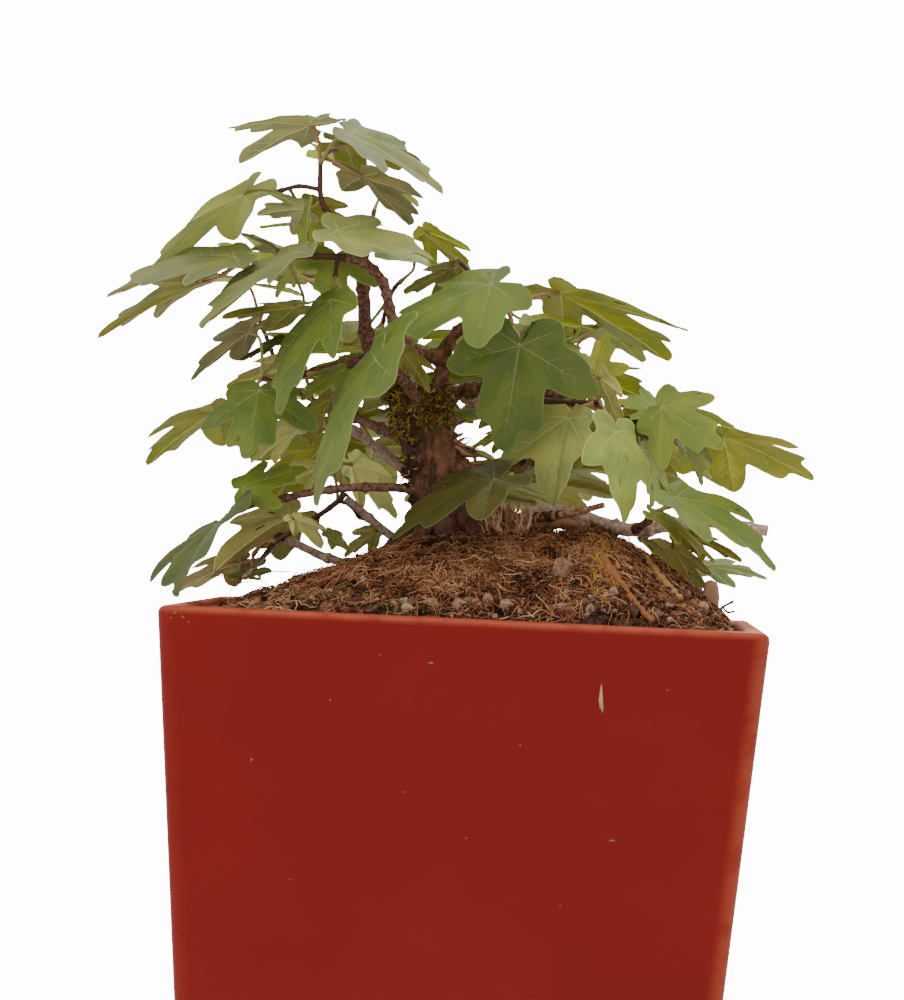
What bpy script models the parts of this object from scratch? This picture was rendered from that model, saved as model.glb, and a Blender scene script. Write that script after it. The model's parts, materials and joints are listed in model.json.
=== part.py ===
# A field maple bonsai in a tall tapered square pot, modelled in metres with +Z up.
# The origin is the middle of the pot's underside, X runs to the right and Y away from the viewer.
import math
import random

import bmesh
import bpy
from mathutils import Vector
from mathutils.bvhtree import BVHTree

MM = 0.001

# Driving dimensions of the pot, which is wider at the rim than at its foot
RIM_WIDTH = 152.4 * MM
POT_HEIGHT = 170 * MM
SIDE_LEAN = 0.08
WALL = 6 * MM
FLOOR = 9 * MM
CORNER_RADIUS = 3.4 * MM
INNER_CORNER = 2 * MM
LIP_RADIUS = 2.2 * MM
FOOT_EDGE = 1.2 * MM
DRAIN_RADIUS = 4 * MM
DRAIN_PLACE = 24 * MM

# The heaped soil: its level along the walls, its rise in the middle, and the top's left and right ends
SOIL_EDGE = 166 * MM
SOIL_RISE = 27 * MM
MOUND_LEFT = -16 * MM
MOUND_RIGHT = 32 * MM
MOUND_FALL = 0.3

# The trunk's flat cut lies a little under the mound's top
TRUNK_FOOT = 184 * MM

# Leaf blades, petioles and twigs
LEAF_THICKNESS = 1.3 * MM
PETIOLE_RADIUS = 0.5 * MM
TWIG_RADIUS = 0.7 * MM
PETIOLE = 12 * MM
REACH = 23 * MM
SUNK = 1.4 * MM

# Clear space between pieces that touch
GAP = 0.3 * MM

# The photograph's view. A pixel and a depth behind the pot's middle give a place in space.
EYE = Vector((37.6, -1097.0, 192.3)) * MM
FOCAL = 4132.0
LEVEL_PIXEL = (620.5, 528)
TILT = 0.0463
TURN_PIXEL = (452, 500)


def ray(px, py):
    """Direction from the eye through a pixel, one unit long in Y."""
    across = px + TILT * (py - TURN_PIXEL[1]) - LEVEL_PIXEL[0]
    down = py - TILT * (px - TURN_PIXEL[0]) - LEVEL_PIXEL[1]
    return Vector((across / FOCAL, 1, -down / FOCAL))


def seen(px, py, depth):
    """Place that shows at a pixel, at a depth in millimetres."""
    return EYE + ray(px, py) * (depth * MM - EYE.y)


def mound(x, y):
    """Height of the soil's surface."""
    inner = RIM_WIDTH / 2 - WALL
    if x < MOUND_LEFT:
        along = max(0, (x + inner) / (MOUND_LEFT + inner)) ** 0.8
    elif x > MOUND_RIGHT:
        along = max(0, (inner - x) / (inner - MOUND_RIGHT)) ** 0.65
    else:
        along = 1
    if x < MOUND_RIGHT:
        along *= 1 - MOUND_FALL * (MOUND_RIGHT - x) / (MOUND_RIGHT + inner)
    return SOIL_EDGE + SOIL_RISE * along * max(0, 1 - (y / inner) ** 2)


def smooth(points, pieces):
    """Points along a Catmull-Rom curve through the given ones."""
    ends = [2 * points[0] - points[1]] + list(points) + [2 * points[-1] - points[-2]]
    out = []
    for a, b, c, d in zip(ends, ends[1:], ends[2:], ends[3:]):
        for step in range(pieces):
            t = step / pieces
            out.append(0.5 * (2 * b + (c - a) * t + (2 * a - 5 * b + 4 * c - d) * t * t
                              + (3 * b - a - 3 * c + d) * t ** 3))
    return out + [points[-1]]


def tapered(start, end, count):
    return [start + (end - start) * k / (count - 1) for k in range(count)]


# Blender objects
def new_collection(name):
    made = bpy.data.collections.new(name)
    bpy.context.scene.collection.children.link(made)
    return made


def from_bmesh(name, bm, collection):
    if bm.calc_volume(signed=True) < 0:
        bmesh.ops.reverse_faces(bm, faces=bm.faces[:])
    mesh = bpy.data.meshes.new(name)
    bm.to_mesh(mesh)
    bm.free()
    made = bpy.data.objects.new(name, mesh)
    collection.objects.link(made)
    return made


def tube(name, points, radii, collection, sides=8):
    """A bevelled curve with filled caps, made a closed mesh."""
    curve = bpy.data.curves.new(name, "CURVE")
    curve.dimensions = "3D"
    curve.bevel_depth = 1
    curve.bevel_resolution = (sides - 4) // 2
    curve.use_fill_caps = True
    spline = curve.splines.new("POLY")
    spline.points.add(len(points) - 1)
    for slot, place, radius in zip(spline.points, points, radii):
        slot.co = (*place, 1)
        slot.radius = radius
    holder = bpy.data.objects.new(name + "_curve", curve)
    collection.objects.link(holder)
    bpy.context.view_layer.update()
    graph = bpy.context.evaluated_depsgraph_get()
    mesh = bpy.data.meshes.new_from_object(holder.evaluated_get(graph))
    bpy.data.objects.remove(holder)
    bm = bmesh.new()
    bm.from_mesh(mesh)
    bpy.data.meshes.remove(mesh)
    bmesh.ops.remove_doubles(bm, verts=bm.verts, dist=1e-6)
    return from_bmesh(name, bm, collection)


def strand(name, points, radius, collection):
    """A three-sided twig or petiole: a cone primitive cut into rings that follow its route."""
    bm = bmesh.new()
    bmesh.ops.create_cone(bm, cap_ends=True, segments=3, radius1=1, radius2=1, depth=1)
    uprights = [e for e in bm.edges if abs(e.verts[0].co.z - e.verts[1].co.z) > 0.5]
    bmesh.ops.subdivide_edges(bm, edges=uprights, cuts=len(points) - 2)
    for v in bm.verts:
        ring = round((v.co.z + 0.5) * (len(points) - 1))
        before = points[max(ring - 1, 0)]
        after = points[min(ring + 1, len(points) - 1)]
        way = (after - before).normalized()
        one = (points[-1] - points[0]).orthogonal()
        one = (one - way * one.dot(way)).normalized()
        v.co = points[ring] + (one * v.co.x + way.cross(one) * v.co.y) * radius
    return from_bmesh(name, bm, collection)


def largest_body(bm):
    """Drops loose scraps and sealed hollows that a Boolean leaves."""
    bodies = []
    left = set(bm.verts)
    while left:
        body = {left.pop()}
        edge = list(body)
        while edge:
            near = {e.other_vert(v) for v in edge for e in v.link_edges} - body
            body |= near
            edge = list(near)
        left -= body
        bodies.append(body)
    bodies.sort(key=len)
    for body in bodies[:-1]:
        bmesh.ops.delete(bm, geom=list(body), context="VERTS")


def combine(target, others, operation, solver="MANIFOLD"):
    """Applies one Boolean with a collection of objects, which is then removed."""
    if not others:
        return target
    tools = bpy.data.collections.new("tools")
    bpy.context.scene.collection.children.link(tools)
    for other in others:
        for owner in list(other.users_collection):
            owner.objects.unlink(other)
        other.hide_render = True
        other.display_type = "WIRE"
        tools.objects.link(other)
    step = target.modifiers.new(operation.lower(), "BOOLEAN")
    step.operation = operation
    step.operand_type = "COLLECTION"
    step.collection = tools
    step.solver = solver
    bpy.context.view_layer.update()
    graph = bpy.context.evaluated_depsgraph_get()
    mesh = bpy.data.meshes.new_from_object(target.evaluated_get(graph))
    target.modifiers.clear()
    bm = bmesh.new()
    bm.from_mesh(mesh)
    bpy.data.meshes.remove(mesh)
    bmesh.ops.remove_doubles(bm, verts=bm.verts, dist=1e-6)
    largest_body(bm)
    bm.to_mesh(target.data)
    bm.free()
    for other in others:
        bpy.data.objects.remove(other)
    bpy.data.collections.remove(tools)
    return target


def finish(name, color, roughness, *objects):
    """Gives objects one Principled material and smooth shading with sharp corners."""
    paint = bpy.data.materials.new(name)
    paint.use_nodes = True
    shader = paint.node_tree.nodes["Principled BSDF"]
    shader.inputs["Base Color"].default_value = (*color, 1)
    shader.inputs["Roughness"].default_value = roughness
    shader.inputs["Metallic"].default_value = 0
    for item in objects:
        item.data.materials.clear()
        item.data.materials.append(paint)
        item.data.shade_smooth()
        item.data.set_sharp_from_angle(angle=math.radians(40))


# Pot
def upright(edge):
    return abs(edge.verts[0].co.z - edge.verts[1].co.z) > POT_HEIGHT / 2


def pot(collection):
    """A tapered square shell with rounded corners, a rolled rim, a floor and four drain holes."""
    bm = bmesh.new()
    bmesh.ops.create_cube(bm, size=1)
    for v in bm.verts:
        top = v.co.z > 0
        width = RIM_WIDTH if top else RIM_WIDTH - 2 * SIDE_LEAN * POT_HEIGHT
        v.co = Vector((math.copysign(width / 2, v.co.x), math.copysign(width / 2, v.co.y),
                       POT_HEIGHT if top else 0))
    outer = [e for e in bm.edges if upright(e)]
    lid = [f for f in bm.faces if f.normal.z > 0.9]
    slant = math.hypot(1, SIDE_LEAN)
    bmesh.ops.inset_region(bm, faces=lid, thickness=WALL * slant, use_even_offset=True)
    grown = bmesh.ops.extrude_face_region(bm, geom=lid)
    bmesh.ops.delete(bm, geom=lid, context="FACES")
    for v in (g for g in grown["geom"] if isinstance(g, bmesh.types.BMVert)):
        half = inner_half(FLOOR) + GAP * slant
        v.co = Vector((math.copysign(half, v.co.x), math.copysign(half, v.co.y), FLOOR))
    inner = [e for e in bm.edges if upright(e) and e not in outer]
    bmesh.ops.bevel(bm, geom=outer, offset=CORNER_RADIUS, segments=3, affect="EDGES", profile=0.5)
    inner = [e for e in inner if e.is_valid]
    bmesh.ops.bevel(bm, geom=inner, offset=INNER_CORNER, segments=2, affect="EDGES", profile=0.5)
    rim = [e for e in bm.edges if min(v.co.z for v in e.verts) > POT_HEIGHT - MM
           and not all(abs(f.normal.z) > 0.9 for f in e.link_faces)]
    bmesh.ops.bevel(bm, geom=rim, offset=LIP_RADIUS, segments=2, affect="EDGES", profile=0.5,
                    clamp_overlap=True)
    foot = [e for e in bm.edges if max(v.co.z for v in e.verts) < MM
            and any(abs(f.normal.z) < 0.5 for f in e.link_faces)]
    bmesh.ops.bevel(bm, geom=foot, offset=FOOT_EDGE, segments=1, affect="EDGES", profile=0.5)
    shell = from_bmesh("pot", bm, collection)
    drains = []
    for x in (-DRAIN_PLACE, DRAIN_PLACE):
        for y in (-DRAIN_PLACE, DRAIN_PLACE):
            places = [Vector((x, y, -FLOOR)), Vector((x, y, 2 * FLOOR))]
            drains.append(tube("drain", places, [DRAIN_RADIUS] * 2, collection, 12))
    return combine(shell, drains, "DIFFERENCE", "EXACT")


# Soil
def inner_half(z):
    """Half the pot's inner width at a height, with the gap taken off."""
    slant = math.hypot(1, SIDE_LEAN)
    return RIM_WIDTH / 2 - SIDE_LEAN * (POT_HEIGHT - z) - (WALL + GAP) * slant


def soil(collection):
    """The heap that fills the pot, a grid pulled up to the mound's height with its foot on the floor."""
    bm = bmesh.new()
    bmesh.ops.create_grid(bm, x_segments=14, y_segments=10, size=0.5)
    half = inner_half(SOIL_EDGE)
    for v in bm.verts:
        v.co = Vector((2 * v.co.x * half, 2 * v.co.y * half, 0))
        v.co.z = mound(v.co.x, v.co.y)
    for v in (v for v in bm.verts if len(v.link_edges) == 2):
        v.co.x -= math.copysign(INNER_CORNER, v.co.x)
        v.co.y -= math.copysign(INNER_CORNER, v.co.y)
    grown = bmesh.ops.extrude_face_region(bm, geom=bm.faces[:])
    low = [g for g in grown["geom"] if isinstance(g, bmesh.types.BMVert)]
    foot = FLOOR + GAP
    shrink = inner_half(foot) / half
    for v in low:
        v.co = Vector((v.co.x * shrink, v.co.y * shrink, foot))
    flat = [f for f in bm.faces if all(abs(v.co.z - foot) < 1e-6 for v in f.verts)]
    bmesh.ops.dissolve_faces(bm, faces=flat)
    low = [v for v in bm.verts if abs(v.co.z - foot) < 1e-6]
    bmesh.ops.dissolve_limit(bm, angle_limit=0.001, verts=low, edges=bm.edges[:])
    bmesh.ops.triangulate(bm, faces=bm.faces[:])
    bmesh.ops.recalc_face_normals(bm, faces=bm.faces[:])
    return from_bmesh("soil", bm, collection)


# Trunk and limbs. Places are photograph pixels with a depth in millimetres, and radii are in millimetres.
TRUNK = [(449, 572, 0), (449, 550, 0), (441, 510, 0), (436, 470, 0), (427, 435, 0), (421, 416, 0),
         (427, 400, 0), (430, 392, 0)]
TRUNK_RADII = [13.0, 10.5, 7.6, 7.4, 7.6, 8.0, 5.6, 3.4]
# Root flare: which way each root leaves, in degrees from the right, how far it reaches, and its radius
ROOTS = [(-8, 27, 4.6), (48, 19, 3.4), (118, 20, 3.6), (176, 20, 3.4), (236, 19, 3.2), (300, 21, 3.8)]
# Each limb: its radius at the start and at the tip, and the places it passes from inside its parent outward
LIMBS = {
    "limb_upright": (2.3, 1.8, [(432, 412, -1), (442, 375, -2), (440, 352, -3)]),
    "limb_apex": (2.8, 1.3, [(420, 408, 2), (392, 377, 7), (368, 345, 11), (363, 290, 11), (354, 252, 6)]),
    "limb_ringed": (1.6, 1.1, [(440, 357, -3), (412, 350, -8), (392, 318, -10), (384, 284, -9),
                               (366, 263, -8), (347, 258, -8)]),
    "limb_upper_right": (1.5, 1.1, [(440, 360, -3), (461, 327, -8), (502, 311, -9)]),
    "limb_knobbed": (1.9, 1.2, [(432, 412, 3), (471, 387, 4), (526, 397, -3)]),
    "limb_far_right": (1.3, 1.0, [(486, 389, 4), (526, 390, 17), (582, 402, 21), (630, 424, 14)]),
    "limb_left": (1.6, 1.1, [(378, 360, 9), (348, 364, 5), (312, 372, -1)]),
    "limb_pale": (1.7, 1.2, [(430, 490, 3), (390, 458, 8), (352, 428, 16)]),
    "bough_low_left": (1.3, 0.9, [(432, 490, -2), (372, 487, -8), (320, 491, -10), (262, 503, -12)]),
    "bough_grey": (1.3, 1.1, [(440, 556, 3), (398, 541, 6), (346, 498, 8)]),
    "bough_ground": (1.5, 1.1, [(448, 545, 8), (400, 556, 22), (341, 562, 26), (286, 539, 26)]),
    "bough_low_right": (2.5, 1.5, [(462, 538, 2), (520, 521, 4), (562, 512, 4), (628, 530, 3), (700, 521, 2),
                                   (767, 531, 2)]),
    "shoot_young": (1.1, 0.8, [(532, 518, 3), (568, 514, -3), (604, 505, -6)]),
    "spur_right": (1.2, 0.9, [(634, 530, 3), (641, 526, -2), (650, 519, -6)]),
    "spur_right_rear": (1.2, 0.9, [(664, 524, 2), (672, 521, 10), (682, 523, 18)]),
    "limb_front": (1.6, 1.1, [(424, 420, -2), (412, 392, -14), (392, 366, -25)]),
    "limb_front_low": (1.4, 1.0, [(438, 470, 0), (480, 468, -10), (520, 462, -17)]),
    "limb_rear_top": (2.0, 1.2, [(424, 420, 3), (404, 372, 24), (392, 318, 38)]),
    "limb_rear_right": (1.9, 1.1, [(434, 440, 3), (470, 408, 26), (512, 384, 42)]),
    "limb_rear_left": (1.8, 1.1, [(430, 450, 3), (384, 430, 28), (336, 410, 42)]),
    "limb_rear_low": (1.7, 1.1, [(440, 500, 4), (448, 486, 30), (462, 470, 46)]),
}
LIMB_STEPS = 3
# Limbs thicker than this at the start have eight sides, others six
STOUT = 1.7
# What lies on the soil or in it
LOW_WOOD = ["trunk", "bough_grey", "bough_ground", "bough_low_right"]


def limb_route(name):
    return smooth([seen(*place) for place in LIMBS[name][2]], LIMB_STEPS)


def limb_radii(name, grow=0.0):
    start, end, places = LIMBS[name]
    count = (len(places) - 1) * LIMB_STEPS + 1
    return [radius * MM + grow for radius in tapered(start, end, count)]


def root_route(angle, reach):
    """A root from inside the trunk, down its flank and out along the soil."""
    turn = math.radians(angle)
    way = Vector((math.cos(turn), math.sin(turn), 0))
    heart = seen(449, 550, 0)
    out = []
    for share, rise in ((0.0, 9), (0.38, 5.5), (0.7, 1.2), (1.0, -1.2)):
        place = heart + way * reach * share * MM
        place.z = mound(place.x, place.y) + rise * MM
        out.append(place)
    return smooth(out, 2)


def trunk(name, collection, grow=0.0):
    route = smooth([seen(*place) for place in TRUNK], 3)
    radii = []
    for low, high in zip(TRUNK_RADII, TRUNK_RADII[1:]):
        radii += [(low + (high - low) * step / 3) * MM + grow for step in range(3)]
    radii.append(TRUNK_RADII[-1] * MM + grow)
    route[-1] = route[-1] + (route[-1] - route[-2]).normalized() * grow
    stem = tube(name, route, radii, collection, 12)
    roots = []
    for angle, reach, radius in ROOTS:
        path = root_route(angle, reach)
        path[-1] = path[-1] + (path[-1] - path[-2]).normalized() * grow
        sizes = [size * MM + grow for size in tapered(radius, 1.2, len(path))]
        roots.append(tube("root", path, sizes, collection, 6))
    combine(stem, roots, "UNION")
    bm = bmesh.new()
    bmesh.ops.create_cube(bm, size=0.2)
    for v in bm.verts:
        v.co.z += TRUNK_FOOT - grow - 0.1
    return combine(stem, [from_bmesh("ground", bm, collection)], "DIFFERENCE")


def fattened(name, collection):
    """A limb's cutter, one gap larger all over."""
    if name == "trunk":
        return trunk("cutter", collection, GAP)
    route = limb_route(name)
    route[0] = route[0] + (route[0] - route[1]).normalized() * GAP
    route[-1] = route[-1] + (route[-1] - route[-2]).normalized() * GAP
    return tube("cutter", route, limb_radii(name, GAP), collection)


# Leaf outline from its tip round one side: degrees from the tip, and the share of the leaf's length
OUTLINE = [(0, 1.0), (10, 0.87), (21, 0.80), (29, 0.62), (37, 0.47), (49, 0.70), (60, 0.82), (71, 0.70),
           (86, 0.43), (108, 0.46), (135, 0.28), (180, 0.08)]
RING = 2 * len(OUTLINE) - 2
# Where a side lobe's tip lies on a flat leaf: degrees from the leaf's tip, and shares of its length
LOBE_TURN = 60
LOBE_SHARE = 0.82
LOBE_ALONG = LOBE_SHARE * math.cos(math.radians(LOBE_TURN))
LOBE_ACROSS = LOBE_SHARE * math.sin(math.radians(LOBE_TURN))
# Outline angles that belong to a side lobe, and to a small lobe at the foot
SIDE_LOBE = (40, 80)
FOOT_LOBE = (80, 150)
# A leaf is turned to its pixels in a few rounds. Its fold, its lobes' turn and their length have limits.
FIT_ROUNDS = 6
FOLD_LIMITS = (-0.45, 0.3)
TURN_LIMITS = (0.8, 1.25)
SHARE_LIMITS = (0.8, 1.2)
EDGE_ON = 0.12


def limited(value, limits):
    return min(max(value, limits[0]), limits[1])


def leaf_form(seed):
    """A leaf's own arch, fold, ripple and lobes. The side lobes come first, then the two small ones."""
    pick = random.Random(seed)
    return {"arch": pick.uniform(0.06, 0.2), "fold": pick.uniform(-0.1, 0.1), "wave": pick.uniform(0, 6.28),
            "spread": [pick.uniform(0.92, 1.1) for _ in range(2)],
            "lobes": [pick.uniform(0.93, 1.06) for _ in range(4)]}


def bend(form, along, across):
    """Height of the blade over its flat outline, all in shares of the length."""
    far = math.hypot(along, across)
    ripple = 0.02 * math.sin(9 * math.atan2(across, along) + form["wave"])
    return -form["arch"] * far * far + form["fold"] * abs(across) + ripple * far


def opened(angle, spread):
    """An outline angle after its side lobe has opened or closed. The leaf's foot stays as it is."""
    if angle > FOOT_LOBE[1]:
        return angle
    return angle * (1 + (spread - 1) * min(1, angle / LOBE_TURN))


def outline_point(form, place):
    """One of the outline's points, counted round the leaf from its tip."""
    side = 1 if place < len(OUTLINE) else -1
    index = place if side > 0 else RING - place
    angle, share = OUTLINE[index]
    if SIDE_LOBE[0] < angle < SIDE_LOBE[1]:
        share *= form["lobes"][0 if side > 0 else 1]
    elif FOOT_LOBE[0] < angle < FOOT_LOBE[1]:
        share *= form["lobes"][2 if side > 0 else 3]
    turn = math.radians(opened(angle, form["spread"][0 if side > 0 else 1])) * side
    return share * math.cos(turn), share * math.sin(turn)


def blade_place(frame, form, along, across):
    """Place in space of a point of the blade."""
    root, axis, side, normal, length = frame
    return root + (axis * along + side * across + normal * bend(form, along, across)) * length


def turned_frame(root, aims, face):
    """Root, axis, side, normal and length of a leaf whose tip and side lobes show at three flat offsets."""
    along = aims[0]
    across = (aims[1] - aims[2]) / (2 * LOBE_ACROSS)
    product = along.dot(across)
    spread = math.hypot(along.length_squared - across.length_squared, 2 * product)
    squared = (along.length_squared + across.length_squared + spread) / 2
    deep_along = math.sqrt(max(0, squared - along.length_squared))
    deep_across = math.copysign(math.sqrt(max(0, squared - across.length_squared)), -product)
    view = (root - EYE).normalized()
    choices = []
    for sign in (1, -1):
        axis = (along + view * deep_along * sign).normalized()
        normal = axis.cross(across + view * deep_across * sign).normalized()
        if normal.dot(view) * face > 0:
            normal = -normal
        choices.append((normal.z, axis, normal))
    axis, normal = max(choices, key=lambda choice: choice[0])[1:]
    side = normal.cross(axis).normalized()
    hand = 1 if side.dot(across) > 0 else -1
    return (root, axis, side, normal, math.sqrt(squared)), hand


def leaf_frame(leaf, shift, form):
    """Turns a leaf so that it shows at its pixels, and gives its form the fold and lobes that this takes."""
    foot, tip, one, other, depth, face = leaf
    root = seen(*foot, depth + shift)
    wanted = [seen(*place, depth + shift) - root for place in (tip, one, other)]
    aims = list(wanted)
    for _ in range(FIT_ROUNDS):
        frame, hand = turned_frame(root, aims, face)
        normal, length = frame[3:]
        miss = []
        for want, share, turn in zip(wanted, (1, LOBE_ALONG, LOBE_ALONG), (0, hand, -hand)):
            place = blade_place(frame, form, share, LOBE_ACROSS * turn)
            shown = EYE + (place - EYE) * (root.y - EYE.y) / (place.y - EYE.y) - root
            miss.append(want - shown)
        aims = [aim + off for aim, off in zip(aims, miss)]
        flat = Vector((normal.x, 0, normal.z))
        if flat.length_squared > EDGE_ON:
            lift = (miss[1] + miss[2]).dot(flat) / (2 * flat.length_squared * LOBE_ACROSS * length)
            form["fold"] = limited(form["fold"] + lift, FOLD_LIMITS)
    along, across = frame[1] * length, frame[2] * length
    spread = along.x * across.z - along.z * across.x
    if abs(spread) > EDGE_ON * length ** 2:
        for index, mark in enumerate(wanted[1:] if hand > 0 else wanted[:0:-1]):
            spot = mark - flat * bend(form, LOBE_ALONG, LOBE_ACROSS) * length
            share_along = (spot.x * across.z - spot.z * across.x) / spread
            share_across = (along.x * spot.z - along.z * spot.x) / spread
            turn = math.degrees(math.atan2(abs(share_across), share_along))
            form["spread"][index] = limited(turn / LOBE_TURN, TURN_LIMITS)
            form["lobes"][index] = limited(math.hypot(share_along, share_across) / LOBE_SHARE, SHARE_LIMITS)
    return frame


def blade_points(frame, form, grow=1.0):
    """Outline points of a leaf in space, then its middle's under and upper point."""
    root, axis, side, normal, length = frame
    grown = (root, axis, side, normal, length * grow)
    out = [blade_place(grown, form, *outline_point(form, place)) for place in range(RING)]
    thick = normal * LEAF_THICKNESS / 2 * grow
    return out + [root - thick, root + thick]


def blade(points, collection):
    """A double cone pulled to a leaf's outline."""
    bm = bmesh.new()
    bmesh.ops.create_cone(bm, cap_ends=True, cap_tris=True, segments=RING, radius1=1, radius2=0, depth=1)
    bm.verts.ensure_lookup_table()
    under = min(bm.verts, key=lambda v: v.co.xy.length + v.co.z)
    upper = max(bm.verts, key=lambda v: v.co.z)
    rim = sorted((v for v in bm.verts if v not in (under, upper)), key=lambda v: math.atan2(v.co.y, v.co.x))
    for v, place in zip(rim, points):
        v.co = place
    under.co, upper.co = points[-2:]
    bmesh.ops.recalc_face_normals(bm, faces=bm.faces[:])
    return from_bmesh("leaf", bm, collection)


def stalk_route(start, frame):
    """A petiole's curve, which enters the leaf from behind and below."""
    root, axis, normal = frame[0], frame[1], frame[3]
    span = (root - start).length
    knee = root - axis * span * 0.35 - normal * span * 0.12
    middle = start * 0.25 + knee * 0.5 + root * 0.25
    return [start, middle, root - axis * SUNK]


def twig_route(start, end):
    """A side twig with a slight upward bow."""
    middle = (start + end) / 2 + Vector((0, 0, (end - start).length * 0.08))
    return [start, middle, end]


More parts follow.
